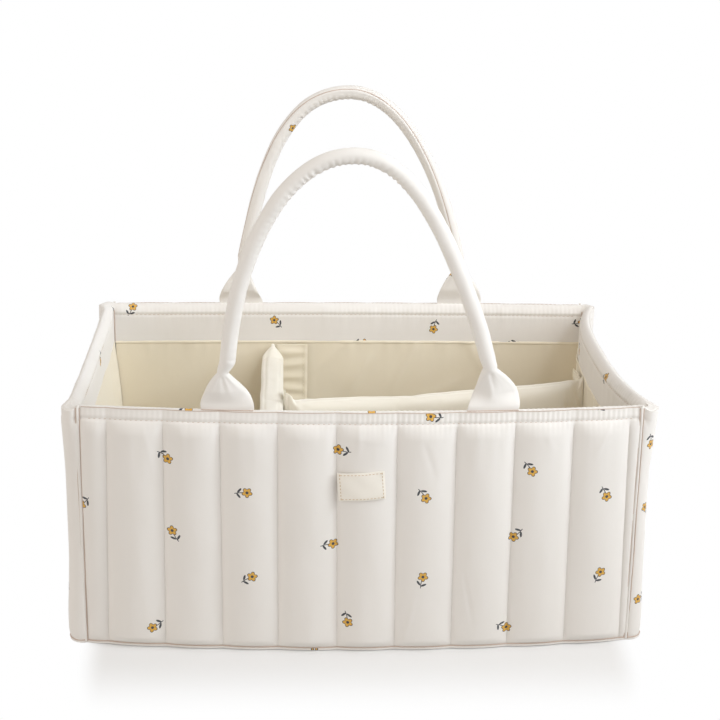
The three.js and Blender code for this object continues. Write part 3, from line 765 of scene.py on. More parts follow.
def quilted_panel(name):
    """A padded panel: its quilted face, then its flat back."""
    panel = PANELS[name]
    z = PANEL_ROWS[:, None]
    channel, share = channel_columns(panel, STITCH_PITCH / 4)
    lines = line_places(panel, z)
    s = lines[:, channel] + share * (lines[:, channel + 1] - lines[:, channel])
    face = on_wall(name, s, face_inset(panel, s, z), z + edge_lift(panel, s, z))
    back_inset, back_z = PANEL_BACK.T[..., None]
    back_s = np.repeat(s[-1:], len(back_z), axis=0)
    points = np.concatenate([face, on_wall(name, back_s, back_inset, back_z), face[:1]])
    uv = stacked(np.concatenate([s, back_s, s[:1]]), np.concatenate([z, back_z, z[:1]]))
    uv = uv + panel["seed"] * np.array(PANEL_CUT)
    piece = closed_cloth(f"{name}_quilted_panel", points, uv, 55, printed_ivory,
                         f"{name}_quilted_face", f"{name}_wadding")


for side in WALLS:
    quilted_panel(side)


# Facings and linings

# A facing's curve over the top edge as (inset, height), the inset from which it hangs inside, and its spread
# on a corner roll.
RIM_START, RIM_INSIDE, ROLL_SPREAD = 2.3, 5, 3.5
RIM_CURVE = np.array([(RIM_START, 165.2), (2.5, 167.6), (6.6, 166.9), (LINING_MIDDLE, 161)])
RIM_DROP = runs((160.4, 155.2, 10), (153.5, 137.4, 9))
# The hem's puckers and groove as the facing shows them, and its wave and gathers.
INNER_PUCKER, INNER_PUCKER_FADE, INNER_GROOVE = 0.9, 2.2, 0.5
FACING_WAVE, FACING_GATHERS = (0.35, 31, 30), (0.3, 6, 40, 9)
LONG_LINING_HALF, END_LINING_HALF, LINING_HIGH, LINING_STEP = 179.8, 110.4, 135, 1.6
LINING_ROWS = runs((4.9, 12, 5), (14, 128, 50), (129.5, 134.6, 6), (135.2, 138, 9))
LINING_WAVES, LINING_GATHERS = ((0.75, 43, 60), (0.3, 15, 26)), (0.55, 5, 50, 8)
# Chance folds of a lining: how many, and the ranges of what fold_lines takes.
LINING_FOLDS = 12
LINING_FOLD_RANGES = [(-170, 170), (30, 125), (25, 70), (20, 160), (2.5, 5), (0.4, 1.1)]
# The share of its waves that a lining keeps under what lies on it, and the furthest that it goes back.
COVERED_SHARE, FURTHEST_BACK = 0.15, -0.25
# The bead along a lining's top edge, flatter on the left.
BEAD_Z, BEAD = 136.9, {"front": 0.5, "back": 0.5, "left": 0.2, "right": 0.5}
# How far a lining hangs off its wall at half height.
SLACK = {"left": 5}
# Where a flap or a divider's end lies on a wall, as (wall, from, to) along it.
COVERED = [("front", -68, -30), ("back", -68, -30), ("right", 20, 54)]


def bare_share(name, s):
    """1 where a lining hangs free, 0 where something lies on it."""
    share = np.ones_like(s)
    for wall, start, stop in COVERED:
        if wall == name:
            share = share * (1 - ease(s, start - 10, start) * (1 - ease(s, stop, stop + 10)))
    return share


def rim_path():
    """(inset, height) along the middle of a facing: over the top edge, then down inside."""
    return np.concatenate([bezier(*RIM_CURVE, 22), stacked(LINING_MIDDLE, RIM_DROP)])


def wall_facing(name):
    """The band of outer cloth that turns in over the top edge."""
    panel = PANELS[name]
    seed, half = panel["seed"], HALF_RUN[name]
    s = np.linspace(-half, half, int(round(8 * half / STITCH_PITCH)) + 1)
    path = rim_path()
    tangent = directions(path)
    inset, z = path[:, :1], path[:, 1:]
    run = length_along(path)[:, None]
    straight = 1
    spread = ROLL_SPREAD * corner_share(panel, s) * (1 - ease(inset, RIM_START, LINING_MIDDLE))
    if panel["turns"]:
        straight = 1 - ease(np.abs(s), HALF_Y - STITCH_END, HALF_Y)
        spread = spread * np.where(s > 0, panel["back_top"], 1)
    inside = ease(inset, RIM_INSIDE, LINING_MIDDLE)
    below = np.maximum(HEM_STITCH - z, 0)
    pucker = INNER_PUCKER * hem_pucker(panel, s) * np.exp(-below / INNER_PUCKER_FADE)
    groove = -INNER_GROOVE * inside * bell(z - HEM_STITCH, GROOVE_WIDTH)
    slack = waves(s, z, seed + 7, FACING_WAVE) + gathers(s, z, seed + 8, below, *FACING_GATHERS)
    out = (pucker + groove + slack * inside * bare_share(name, s)) * straight
    height = z + tangent[:, :1] * out + edge_lift(panel, s, z)
    points = on_wall(name, s[None, :], inset - spread - tangent[:, 1:] * out, height)
    uv = stacked(s[None, :] + FACING_CUT[0], run + FACING_CUT[1] * seed)
    cloth_sheet(f"{name}_edge_facing", points, uv, CLOTH, printed_ivory, "ivory_print", f"{name}_facing",
                flat=(2 * half * MM, float(run[-1, 0]) * MM), held="stretched", rests_on=[f"{name}_board"])


def lining_wave(name, s, z):
    """How far a lining stands off its wall: waves, gathers under the facing, chance folds and slack."""
    seed = PANELS[name]["seed"] + 50
    drop = np.maximum(FACING_BOTTOM - z, 0)
    wave = waves(s, z, seed, *LINING_WAVES) + gathers(s, z, seed + 2, drop, *LINING_GATHERS)
    chance = np.random.default_rng(seed)
    folds = [[chance.uniform(*limits) for limits in LINING_FOLD_RANGES] for _ in range(LINING_FOLDS)]
    kept = COVERED_SHARE + (1 - COVERED_SHARE) * bare_share(name, s)
    wave = (wave + fold_lines(s, z, folds)) * kept
    slack = SLACK.get(name, 0) * np.sin(pi * np.clip(drop / FACING_BOTTOM, 0, 1))
    return np.maximum(FURTHEST_BACK, wave) + slack


def wall_lining(name):
    half = LONG_LINING_HALF if name in LONG_WALLS else END_LINING_HALF
    s = np.linspace(-half, half, int(round(2 * half / LINING_STEP)) + 1)[None, :]
    z = LINING_ROWS[:, None]
    bead = BEAD[name] * np.sqrt(np.clip(1 - (z - BEAD_Z) ** 2, 0, 1))
    points = on_wall(name, s, LINING_MIDDLE + bead + lining_wave(name, s, z), z)
    cloth_sheet(f"{name}_inner_lining", points, stacked(s, z), CLOTH, cream_lining, "cream_lining",
                f"{name}_lining", flat=(2 * half * MM, LINING_HIGH * MM), held="hung",
                rests_on=[f"{name}_board"])


for side in WALLS:
    wall_facing(side)
    wall_lining(side)


# Base

def around(inset, z):
    """Points round the caddy, about 2 mm apart. inset(scallop) lets them follow the quilting's foot."""
    points = []
    for name, way in (("front", 1), ("right", 1), ("back", -1), ("left", -1)):
        half = HALF_RUN[name]
        s = way * np.linspace(-half, half, int(round(half)) + 1)[:-1]
        scallop = foot_fullness(PANELS[name], s) * channel_crown(PANELS[name], s, np.zeros_like(s))
        points.append(on_wall(name, s, inset(scallop), z))
    return np.concatenate(points)


def base_cover():
    # Each row of the profile is (inset, height, share of the scallop).
    profile = [(34, 0, 0), (8, 0, 0), (2.4, 0.05, 0.5), (1.1, 0.3, 0.9), (0.5, 0.9, 1), (0.45, 1.7, 1),
               (0.7, 2.3, 1), (2.2, 2.4, 0.6), (4, 1.4, 0), (34, 1.3, 0)]
    rows = [around(lambda scallop: inset - share * scallop, z) for inset, z, share in profile]
    points = np.array([np.concatenate([row, row[:1]]) for row in rows])
    closed_cloth("base_outer_cover", points, points[..., :2] + BASE_CUT, 40, printed_ivory, "base_cover")
    brown_line("base_seam", around(lambda scallop: 0.6 - scallop, BASE_SEAM - 0.1), SEAM_RADIUS, closed=True)


def floor_lining():
    inset, height, most_rise = 10, 5, 0.25
    a, b = np.meshgrid(np.linspace(-1, 1, 151), np.linspace(-1, 1, 93))
    along = np.clip(b * (SIDE_Y - inset), -HALF_Y, HALF_Y)
    left, right = (WALLS[name](along, inset)[0] for name in ("left", "right"))
    x = left + (a + 1) / 2 * (right - left)
    front, back = (WALLS[name](np.clip(x, -HALF_X, HALF_X), inset)[1] for name in LONG_WALLS)
    y = front + (b + 1) / 2 * (back - front)
    z = height + np.minimum(waves(x, y, 71, (0.3, 37, 31), (0.12, 11, 13)), most_rise)
    cloth_sheet("floor_lining", stacked(x, y, z), stacked(x, y), 0.6, cream_lining, "cream_lining",
                "base_lining", flat=(0.365, 0.236), held="laid", rests_on=["base_board"])


base_cover()
floor_lining()


# Corner seams

# The pinched seam's radius, inset and lean at the top, how far a left one sits aside, and its two lines.
PINCH_RADIUS, PINCH_INSET, PINCH_LEAN, LEFT_SHIFT = 0.95, 0.75, 0.8, 0.9
LINE_ASIDE, LINE_OUT = 1.2, 0.35
JOIN_OUT, JOIN_RADIUS = 0.35, 0.4


def corner_seam(name, wall, x):
    """A pinched upright seam with a brown line on each side, and the join inside between two facings."""
    outward, side, on_right = -1 if wall == "front" else 1, copysign(1, x), int(x > 0)
    z = runs((1.8, 150, 60), (151, 167.4, 18))
    lean = PINCH_LEAN * ease(z, HEM_STITCH + 1, TOP)
    middle = x + 0.3 * soft_noise(z / 30, 0.5, 91 + on_right) - (0 if on_right else LEFT_SHIFT)
    y = WALLS[wall](np.full_like(z, x), PINCH_INSET + lean)[1]
    turn = np.linspace(0, 2 * pi, 15)[:, None]
    radius = PINCH_RADIUS * (1 + 0.12 * soft_noise(z / 9, 0.5, 95))
    points = stacked(middle + radius * np.cos(turn), y + radius * np.sin(turn), z)
    uv = stacked(turn * radius.mean(), length_along(stacked(middle, y, z))) + SEAM_CUT
    closed_cloth(f"{name}_corner_seam", points, uv, 60, plain_ivory)
    for edge, way in (("inner", -side), ("outer", side)):
        wobble = 0.15 * soft_noise(z / 5, 2.5, 97 + int(way > 0))
        line = stacked(middle + LINE_ASIDE * way + wobble, y + LINE_OUT * outward, z)
        brown_line(f"{name}_corner_{edge}_line", line[:-2], SEAM_RADIUS)
    heights = np.linspace(FACING_BOTTOM + 1, HEM_STITCH + 4, 24)
    out = JOIN_OUT + 0.12 * soft_noise(heights / 7, 1.5, 99 + on_right)
    join = stacked(side * (HALF_X + out), outward * (HALF_Y + out), heights)
    brown_line(f"{name}_facing_join", join, JOIN_RADIUS)


for wall in LONG_WALLS:
    for side, x in (("left", -HALF_X), ("right", HALF_X)):
        corner_seam(f"{wall}_{side}", wall, x)


# Stitching along the top edge

STITCH_OUT, STITCH_THICKNESS, EDGE_SEAM_RADIUS = 0.12, 0.6, 0.25
INNER_STITCH_INSET = LINING_MIDDLE - 0.15


def edge_stitches(name):
    panel = PANELS[name]
    half = (HALF_X if name in LONG_WALLS else HALF_Y) - STITCH_END
    count = int(2 * half / STITCH_PITCH)
    start = -0.5 * (count - 1) * STITCH_PITCH

    def outside(along, aside, out):
        s = start + along
        inset = face_inset(panel, s, np.full_like(s, HEM_STITCH)) - STITCH_OUT - out
        return on_wall(name, s, inset, HEM_STITCH + aside)

    def inside(along, aside, out):
        s = start + along
        inset = INNER_STITCH_INSET + INNER_PUCKER * hem_pucker(panel, s) + STITCH_OUT + out
        return on_wall(name, s, inset, HEM_STITCH + aside)

    for face, place in (("outer", outside), ("inner", inside)):
        stitch_row(f"{name}_{face}_topstitch", count, STITCH_PITCH, STITCH_LENGTH,
                   STITCH_THICKNESS, place, stitch_thread, "ivory_print")


def edge_seam_line(name):
    """The line where the quilted face meets the facing, tucked in further on the ends. Its brown is mostly
    painted shade in the join.
    """
    panel = PANELS[name]
    half = HALF_RUN[name] - 1.5
    s = np.linspace(-half, half, int(half / 0.8))
    tuck_in, tuck_down = (0.55, -0.5) if panel["turns"] else (0.05, 0.2)
    inset = face_inset(panel, s, np.full_like(s, FACE_TOP)) + tuck_in
    height = FACE_TOP + tuck_down + edge_lift(panel, s, FACE_TOP)
    brown_line(f"{name}_edge_seam", on_wall(name, s, inset, height), EDGE_SEAM_RADIUS)


for side in WALLS:
    edge_stitches(side)
    edge_seam_line(side)


# Label

LABEL_S, LABEL_Z, LABEL_TILT = -0.5, 118.5, radians(4.5)
LABEL_HALF_WIDE, LABEL_HALF_HIGH = 15, 9.4
# The label follows the quilting by the share LABEL_FOLLOW, and lies at LABEL_REST for the rest.
LABEL_FOLLOW, LABEL_REST = 0.6, 4.8
LABEL_ROW_X, LABEL_ROW_Z, LABEL_STITCH_OUT = 13.6, 8.2, 1.45
LABEL_STITCHES = dict(pitch=2.3, length=1.7, material=label_thread, slot="label_cotton")


def on_label(a, b, out):
    """A place on the stiff label, which lies flatter than the quilting under it."""
    s = LABEL_S + a * cos(LABEL_TILT) - b * sin(LABEL_TILT)
    z = LABEL_Z + a * sin(LABEL_TILT) + b * cos(LABEL_TILT)
    rest = LABEL_FOLLOW * channel_crown(PANELS["front"], s, z) + (1 - LABEL_FOLLOW) * LABEL_REST
    bow = 0.35 * soft_noise(a / 9, b / 8, 61)
    return on_wall("front", s, STITCH_INSET - rest - bow - out, z)


def front_label():
    a, b = np.meshgrid(np.linspace(-LABEL_HALF_WIDE, LABEL_HALF_WIDE, 49),
                       np.linspace(-LABEL_HALF_HIGH, LABEL_HALF_HIGH, 33))
    sunk_edge = 0.4 * np.maximum(np.abs(a) / LABEL_HALF_WIDE, np.abs(b) / LABEL_HALF_HIGH) ** 8
    cloth_sheet("front_label_tab", on_label(a, b, 1 - sunk_edge), stacked(a, b), 0.8, label_cotton,
                "label_cotton", "front_label",
                flat=(0.0305, 0.0188), held="laid", rests_on=["front_quilted_panel"])
    for edge, across in (("left", -LABEL_ROW_X), ("right", LABEL_ROW_X)):
        stitch_row(f"label_{edge}_stitches", 8, thickness=0.45, **LABEL_STITCHES,
                   place=lambda along, aside, out: on_label(
                       across + aside, along - 8, LABEL_STITCH_OUT + out))
    for edge, height in (("lower", -LABEL_ROW_Z), ("upper", LABEL_ROW_Z)):
        stitch_row(f"label_{edge}_stitches", 12, thickness=0.4, **LABEL_STITCHES,
                   place=lambda along, aside, out: on_label(
                       along - 12.6, height + aside, LABEL_STITCH_OUT + out))


front_label()


# Handles

SPADE_X, FOOT_HEIGHT, SPADE_HALF = 84.2, 20, 17.5
NECK_RUN, TUBE_RADIUS, HANDLE_RIM = 9, 5.1, 60
SPLAY = radians(3)
FOOT_LINE_HALF, FOOT_LINE_INSET, HANDLE_LINE_RADIUS = 16.6, 2.6, 0.3
TUBE_STEP = 0.8
# The bend, in radians to a millimetre, at which a cover's inside is fully gathered, and the pitch of the
# gathers.
FULL_BEND, PLEAT_PITCH = 0.016, 4.4
# seam is where the seam lies round the tube at its left and right ends, in degrees from the arch's inside.
ARCHES = {
    "front": dict(centre=-1.6, rise=160, top=-7.4, tuck=(2.6, 19), shoulder=(47, 41.6), outward=-1,
                  bow=FRONT_BOW, y=-124.27, seed=101, seam=(100, 100), gather=1.0),
    "back": dict(centre=1, rise=158.2, top=-1.2, tuck=(10.9, 9.8), shoulder=(54.3, 42.5), outward=1,
                 bow=BACK_BOW, y=117.24, seed=131, seam=(-168, -76), gather=0.5),
}


def spade(length, taper, neck, fold, fall, full, sway):
    """A sewn end of a handle.

    It has a length above the fold line, tapers of its left and right edges, half its neck, where its fold
    runs, how far each half falls back from it, how full it is, and its neck's pull and over what height.
    """
    return dict(length=length, taper=taper, neck=neck, fold=fold, fall=fall, full=full, sway=sway)


SPADES = {
    ("front", -1): spade(20, (1.85, 1.6), 3.7, -3, (0.04, 0.1), 3.2, (-2.6, 9)),
    ("front", 1): spade(23.5, (0.95, 2.5), 4.5, -1, (0.3, 0.34), 1.6, (-1.2, 32)),
    ("back", -1): spade(23.5, (1.8, 0.95), 3.7, 3, (-0.1, -0.22), 1.3, (0, 9)),
    ("back", 1): spade(23.5, (1.85, 1.85), 3.7, 0, (0, 0), 1.3, (0, 9)),
}


def arch_line(arch, fine):
    """The arch's middle between the necks, evenly spaced, as (x, height) from the fold line."""
    top = np.array([arch["top"], arch["rise"]])
    climb = (arch["rise"] - FOOT_HEIGHT) / 2
    legs = []
    for side, tuck, shoulder in zip((-1, 1), arch["tuck"], arch["shoulder"]):
        foot = np.array([arch["centre"] + side * SPADE_X, FOOT_HEIGHT])
        lower = foot + np.array([-side * climb * tan(radians(tuck)), climb])
        upper = top + np.array([side * shoulder, 0])
        legs.append(bezier(foot, lower, upper, top, 400))
    line = np.concatenate([legs[0], legs[1][::-1][1:]])
    run = length_along(line)
    even = np.linspace(0, run[-1], int(run[-1] / fine) + 1)
    return stacked(*(np.interp(even, run, line[:, axis]) for axis in (0, 1)))


def spade_end(end, side, turn, seed, neck_shift):
    """A flat end that gathers to the neck, as rim by rows by 3 points about its own middle."""
    length, neck = end["length"], end["neck"]
    up = runs((-27, -6, 8), (-4.5, 3, 9), (4, length, 26))
    share = np.clip(up / length, 0, 1)
    bare = np.clip((up + HINGE_Z - TOP) / (length + HINGE_Z - TOP), 0, 1)
    squareness = 3.6 - 1.5 * ease(up, -4, 5) - 0.1 * share
    way = turn if side < 0 else pi - turn
    cosine, sine = (np.sign(part) * np.abs(part) ** (2 / squareness) for part in (np.cos(way), np.sin(way)))
    left, right = (neck + (SPADE_HALF - neck) * (1 - bare ** taper) for taper in end["taper"])
    half = np.where(np.cos(way) < 0, left, right) - 0.7 * bell(up + 4, 2.4)
    across = half * cosine
    puff = 0.7 + end["full"] * ease(up, -1, 9)
    thick = puff + (neck - puff) * share ** 3
    rolled = 0.5 * bell(np.abs(across) - half + 1.7, 1.2) * ease(up, 1, 6) * (1 - share ** 2)
    crease = -0.8 * bell(across - side * 1.5 * (1 - share), 1.5)
    pulls = 0.35 * soft_noise(across / (3.2 * (1.15 - share)), 0.7, seed + side + 9)
    below_neck = ease(share, 0.1, 0.65) * (1 - ease(share, 0.85, 1))
    relief = rolled + (crease + pulls) * below_neck
    depth = sine * (thick + relief * np.abs(np.sin(turn)) ** 0.6)
    beyond = across - end["fold"] * (1 - 0.6 * share)
    fold = np.where(beyond < 0, end["fall"][0] * -beyond, end["fall"][1] * beyond)
    depth = depth + fold * ease(up, -2, 7) * (1 - 0.7 * share ** 3)
    return stacked(across + neck_shift * ease(share, 0.2, 1.0), depth, up)


def handle_sleeve(name):
    """A handle's cover, from sewn end through corded tube to sewn end, with its seam and foot lines."""
    arch = ARCHES[name]
    seed, outward, y_hinge = arch["seed"], arch["outward"], arch["y"]
    left_end, right_end = SPADES[name, -1], SPADES[name, 1]
    turn = np.linspace(0, 2 * pi, HANDLE_RIM + 1)[:, None]

    # The tube's middle, pulled aside at its necks.
    line = arch_line(arch, TUBE_STEP)
    left_half = np.arange(len(line)) < len(line) / 2
    above_neck = np.where(left_half, left_end["length"], right_end["length"]) + 0.5
    for end, half in ((left_end, left_half), (right_end, ~left_half)):
        pull, height = end["sway"]
        line[:, 0] += pull * half * (1 - ease(line[:, 1] - above_neck, 0, height))
    line = line[line[:, 1] > above_neck]
    tangent = directions(line)
    run = length_along(line)
    from_neck = np.minimum(run, run[-1] - run)
    neck = np.where(run < run[-1] / 2, left_end["neck"], right_end["neck"])
    radius = neck + (TUBE_RADIUS - neck) * ease(from_neck, 0, NECK_RUN)

    # The seam's ridge, and gathers on the inside of the bend.
    first, last = np.radians(arch["seam"])
    seam_turn = first + (last - first) * run / run[-1]
    apart = (turn - seam_turn + pi) % (2 * pi) - pi
    ridge = 0.4 * bell(apart - 0.3, 0.17) - 0.35 * bell(apart, 0.09)
    bend = np.abs(np.gradient(np.unwrap(np.arctan2(tangent[:, 1], tangent[:, 0])), run))
    bend = np.clip(bend / FULL_BEND, 0, 1) ** 1.5
    hollow = np.clip(np.cos(turn) + 0.25, 0, 1)
    uneven_run = run + 1.4 * soft_noise(run / 9, 0.5, seed + 4)
    pleat = np.cos(2 * pi * uneven_run / PLEAT_PITCH) - 0.6
    depth = 0.32 + 0.3 * soft_noise(run / 7, turn * 0.8, seed)
    gather = arch["gather"] * depth * hollow * bend * pleat
    uneven = 0.16 * soft_noise(run / 17, turn * 0.9, seed + 2)
    uneven = uneven + 0.08 * soft_noise(run / 7, turn * 1.5, seed + 3)
    size = radius + ease(from_neck, 4, 14) * (ridge + gather + uneven)
    size[-1] = size[0]

    def on_arch(angle, out):
        x = line[:, 0] + out * np.cos(angle) * tangent[:, 1]
        height = line[:, 1] - out * np.cos(angle) * tangent[:, 0]
        return stacked(x, out * np.sin(angle), height)

    def placed(points):
        """Leans the handle out and lets its sewn feet follow the wall's seam."""
        x, depth, up = np.moveaxis(points, -1, 0)
        curve = outward * arch["bow"] * ((SPADE_X / HALF_X) ** 2 - (x / HALF_X) ** 2)
        into_seam = outward * 1.7 * (1 - ease(up, -3, 8)) * ease(up, -22, -6)
        y = y_hinge + depth + outward * np.maximum(up, 0) * sin(SPLAY)
        y = y + (1 - ease(up, -1, 9)) * curve + into_seam
        lean = np.where(up > 0, up * (cos(SPLAY) - 1) - outward * depth * sin(SPLAY), 0)
        return stacked(x, y, HINGE_Z + up + lean)

    ends = {}
    for side, neck_x in ((-1, line[0, 0]), (1, line[-1, 0])):
        middle = arch["centre"] + side * SPADE_X
        ends[side] = spade_end(SPADES[name, side], side, turn, seed, neck_x - middle) + [middle, 0, 0]
    points = placed(np.concatenate([ends[-1], on_arch(turn, size), ends[1][:, ::-1]], axis=1))
    uv = stacked(turn * TUBE_RADIUS, length_along(points.mean(axis=0))) + seed * np.array(HANDLE_CUT)
    piece = closed_cloth(f"{name}_handle_cover", points, uv, 60, printed_ivory, f"{name}_handle_sleeve",
                         f"{name}_handle_left_tab", f"{name}_handle_right_tab", body=None)
    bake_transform(piece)

    seam = placed(on_arch(seam_turn, radius - 0.15))[from_neck > 7]
    brown_line(f"{name}_handle_seam", seam, HANDLE_LINE_RADIUS, body=f"{name}_handle")
    for side, way in (("left", -1), ("right", 1)):
        middle = arch["centre"] + way * SPADE_X
        s = np.linspace(middle - FOOT_LINE_HALF, middle + FOOT_LINE_HALF, 30)
        foot = on_wall(name, s, FOOT_LINE_INSET, TOP - 0.3)
        brown_line(f"{name}_handle_{side}_foot_line", foot, HANDLE_LINE_RADIUS)


for side in ARCHES:
    handle_sleeve(side)


# Dividers

DIVIDER_LOW = 5.9
FOAM_HALF, FOAM_INSET = 3, 20
CROSS_X, CROSS_FACE = -59, -51
SWELL_FRAMES, MOST_SWELL = 18, 4
CLOTH_SETTINGS = dict(
    quality=6, mass=0.15, tension_stiffness=18, compression_stiffness=18, shear_stiffness=6,
    bending_stiffness=0.4, vertex_group_mass="sewn", use_pressure=True, uniform_pressure_force=2.2,
    shrink_min=-0.025)
# The upper part of a cover's outline: heights above its foot, and shares of its half thickness.
CREST = [110, 113.5, 116.5, 119, 121, 122.6, 123.8, 124.6, 125]
SHOULDER = np.array([0.99, 0.965, 0.925, 0.87, 0.79, 0.68, 0.54, 0.37, 0.16])


def swell(pieces):
    """Lets the covers fill out under pressure, held at their sewn ends and foot."""
    scene = bpy.context.scene
    for piece in pieces:
        cloth = add_modifier(piece, "CLOTH")
        for name, value in CLOTH_SETTINGS.items():
            setattr(cloth.settings, name, value)
        cloth.settings.effector_weights.gravity = 0
        cloth.point_cache.frame_start = 1
        cloth.point_cache.frame_end = SWELL_FRAMES
    for moment in range(1, SWELL_FRAMES + 1):
        scene.frame_set(moment)
    for piece in pieces:
        apply_modifier(piece)
    scene.frame_set(1)


def divider_shell(name, start, stop, thickness, seam_shift, peaks, spans, climb=0.0):
    """A closed cover between two ends, before it fills out.

    seam_shift moves each end's seam aside, and peaks lift each top corner over its span. climb lifts the
    far half.
    """
    start, stop = np.array(start), np.array(stop)
    length = np.linalg.norm(stop - start)
    forward = (stop - start) / length
    aside = np.array([-forward[1], forward[0]])
    share = np.concatenate([np.linspace(0, 0.07, 10), np.linspace(0.07, 0.93, int(length / 3))[1:-1],
                            np.linspace(0.93, 1, 10)])
    run = share * length
    full = round_off(np.minimum(share, 1 - share) * length, 13) ** 0.8
    half = 1 + (thickness / 2 - 2) * full
    shift = np.where(share < 0.5, *seam_shift) * (thickness / 2 - 1) * (1 - full)
    rise = np.concatenate([[0, 0], np.linspace(3, 106, 34), CREST])
    wide = np.concatenate([[0.35, 0.75], np.ones(34), SHOULDER ** 0.55 if thickness > 12 else SHOULDER])
    ring_z = np.concatenate([rise, rise[::-1], rise[:1]])[:, None]
    ring_w = np.concatenate([wide, -wide[::-1], wide[:1]])[:, None]
    near = 1 - ease(run, 0, spans[0])
    far = 1 - ease((1 - share) * length, 0, spans[1])
    lift = peaks[0] * near + peaks[1] * far + climb * np.clip((share - 0.42) / 0.58, 0, 1)
    z = DIVIDER_LOW + ring_z + lift * (ring_z / 124.9) ** 6
    offset = shift + ring_w * half
    plan = start + run[:, None] * forward + offset[..., None] * aside
    girth = length_along(np.concatenate([ring_w * thickness / 2, ring_z], axis=1))
    points = np.concatenate([plan, z[..., None]], axis=-1)
    piece = close_mesh(cloth_grid(name, points, stacked(run, girth[:, None])))
    local = points_of(piece)
    run = (local[:, :2] - start) @ forward
    at_end = 1 - ease(np.minimum(run, length - run), 0.5, 3)
    group = piece.vertex_groups.new(name="sewn")
    for i, weight in enumerate(np.maximum(at_end, local[:, 2] < DIVIDER_LOW + 2)):
        group.add([i], float(weight), "REPLACE")
    return piece, (start, forward, aside, length, thickness)


def end_folds(run, offset, z, seed):
    """Folds that fan out over the top from the sewn corner at the end of a cover."""
    spread, far = np.arctan2(offset, run + 1), np.hypot(offset, run + 1)
    ridges = np.cos(6.5 * spread + 2 * soft_noise(spread * 2 + 9, 0.5, seed))
    return 0.55 * ridges * ease(far, 1, 5) * (1 - ease(far, 9, 26)) * ease(z, 112, 128)


def settle(piece, plan, before, flat_side, seed):
    """Caps how far the cloth moved, keeps it off its neighbours and foam, folds its ends and smooths it."""
    start, forward, aside, length, thickness = plan
    moved = points_of(piece) - before
    far = np.linalg.norm(moved, axis=1)
    filled = ease(before[:, 2], 12, 60)
    moved *= (filled * np.minimum(1, MOST_SWELL / np.maximum(far, 1e-6)))[:, None]
    set_points(piece, before + moved)
    finer = add_modifier(piece, "SUBSURF")
    finer.levels = finer.render_levels = 1
    apply_modifier(piece)
    points = points_of(piece)
    z = points[:, 2]
    local = points[:, :2] - start
    run, offset = local @ forward, local @ aside
    from_end = np.minimum(run, length - run)
    limit = thickness / 2 + 0.1
    room = np.clip(offset, -limit - (2.5 if flat_side > 0 else 0), limit)
    over_foam = ease(from_end, FOAM_INSET - 5, FOAM_INSET - 1)
    over_foam = over_foam * (z > DIVIDER_LOW + 2) * (1 - ease(z, 118, 124))
    room = np.sign(room) * np.maximum(np.abs(room), (FOAM_HALF + 0.7) * over_foam)
    points[:, :2] += (room - offset)[:, None] * aside
    run = np.clip(run, -0.2, length + 0.2)
    inner = ease(from_end, 8, 22)
    fold = bell(np.abs(room) - 0.5 * thickness + 3, 0.8)
    rumple = waves(run, room, seed, (0.45, 26, 7), (0.2, 9, 6))
    z = z + (rumple - 0.8 * fold) * ease(z, 126, 129.5) * inner
    z = z + end_folds(run, room, z, seed) + end_folds(length - run, room, z, seed + 2)
    sway = 0.5 * soft_noise(run / 23, z / 31, seed + 3) * inner * (z > 30)
    points[:, :2] += (sway * (np.sign(room) != np.sign(flat_side)))[:, None] * aside
    points[:, 2] = z
    set_points(piece, points)
    piece.vertex_groups.clear()
    smooth(piece, 70)


def dividers():
    cross = divider_shell(
        "cross_divider_pad", (CROSS_X, -120.6), (CROSS_X, 112.5), thickness=16, seam_shift=(0, 0),
        peaks=(1, 5.5), spans=(17, 17))
    long = divider_shell(
        "long_divider_pad", (-50.3, -2.0), (168.7, 28.0), thickness=10, seam_shift=(0.5, -0.7),
        peaks=(4.5, 4), spans=(11, 7), climb=5.2)
    before = {piece.name: points_of(piece) for piece, _ in (cross, long)}
    swell([cross[0], long[0]])
    rows = ((*cross, "cross_divider", -1, 301), (*long, "long_divider", 1, 311))
    for piece, plan, body, flat_side, seed in rows:
        settle(piece, plan, before[piece.name], flat_side, seed)
        # The covers take the paler cream, painted light from above on the same cloth as the lining.
        finish_piece(piece, cream_pad_painted_light, "cream_lining", f"{body}_cover", body=body)


dividers()


# Hook-and-loop flaps

FLAP_LOW, FLAP_HIGH, FLAP_MIDDLE, FLAP_CLOTH = 14, 134, 12, 0.9
RIPPLE_PITCH = 10
# The row of stitches on a flap: how many, and how far from its free edge and its foot.
FLAP_STITCHES, STITCHES_FROM_EDGE, STITCHES_FROM_FOOT = 34, 2.8, 4


def on_cross_divider(s, inset, z):
    return stacked(CROSS_FACE + inset - 9.2, s, z)


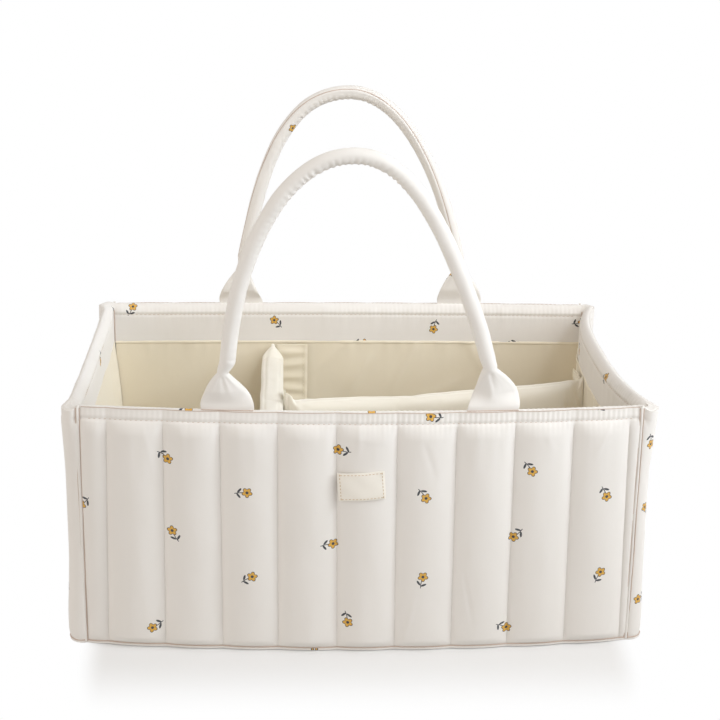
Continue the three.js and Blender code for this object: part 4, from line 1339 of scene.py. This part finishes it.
def flap(divider, end, rests_on, place, edges, seed,
         curl=0.0, ripples=1.15, top=FLAP_HIGH):
    """A flap at an end of a divider, with its row of stitches.

    place(s, inset, z) puts it over what it sticks to, and edges is where its root, its fold and its free edge
    lie along that.
    """
    name, body = f"{divider}_{end}_sewn_flap", f"{divider}_{end}_flap"
    root, start, stop = edges
    run = np.concatenate([np.linspace(root, start, 5)[:-1], np.linspace(start, stop, 26)])
    s, z = np.meshgrid(run, np.linspace(FLAP_LOW, top, 120))

    def lay(u, v):
        """How far the flap stands off: ripples across it, a turned edge and a curled top corner."""
        share = (u - root) / (stop - root)
        middle = np.sin(pi * np.clip(share, 0, 1)) ** 0.7
        wander = 0.9 * soft_noise(v / 17, u / 26, seed + 1)
        ripple = 0.5 + 0.5 * np.cos(2 * pi * v / RIPPLE_PITCH + 1.5 * wander + seed)
        strength = 0.25 + 0.75 * ease(v, 70, 105)
        hem = 0.4 * bell(u - stop + 1.6, 1.2)
        corner = curl * ease(v, 112, top) ** 2 * ease(share, 0.3, 1.0) ** 1.5
        return ripples * ripple ** 1.3 * strength * middle + hem + corner

    points = place(s, FLAP_MIDDLE + lay(s, z), z)
    piece = cloth_sheet(name, points, stacked(s, z), FLAP_CLOTH, cream_lining, "cream_lining",
                        f"{divider}_divider_{end}_flap", body=None,
                        flat=((stop - root) * MM, (FLAP_HIGH - FLAP_LOW) * MM), held="laid",
                        rests_on=[rests_on])
    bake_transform(piece)

    def stitch_place(along, aside, out):
        u, v = stop - STITCHES_FROM_EDGE + aside, FLAP_LOW + STITCHES_FROM_FOOT + along
        return place(u, FLAP_MIDDLE + 0.5 + lay(u, v) + out, v)

    stitch_row(f"{name}_stitches", FLAP_STITCHES, STITCH_PITCH, STITCH_LENGTH, 0.5, stitch_place,
               cream_thread, "cream_lining", body=body)


flap("cross", "back", "back_inner_lining", partial(on_wall, "back"), (-55.5, -50.4, -32.4),
     201, top=135.6)
flap("cross", "front", "front_inner_lining", partial(on_wall, "front"), (-55.5, -50.4, -32.4),
     203)
flap("long", "left", "cross_divider_pad", on_cross_divider, (-1, 3.9, 21.9),
     205, ripples=0.15, top=124)
flap("long", "right", "right_inner_lining", partial(on_wall, "right"), (29.5, 33.9, 51.9),
     207, curl=1.5, top=136)


# Finishes of the solids that stay as they are

TAPES = ("cross_back", "cross_front", "long_left", "long_right")
KEPT_FINISHES = [
    (grey_board, [f"{side}_board" for side in WALLS] + ["base_board"]),
    (white_foam, ["cross_divider_foam", "long_divider_foam"]),
    (white_cord, ["front_handle_cord", "back_handle_cord"]),
    (hook_nylon, [f"{place}_hook_tape" for place in TAPES]),
    (loop_nylon, [f"{place}_loop_tape" for place in TAPES]),
]
for material, names in KEPT_FINISHES:
    for name in names:
        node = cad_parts[name]
        if node.material_slots:
            for held in node.material_slots:
                held.material = material
        else:
            node.data.materials.append(material)
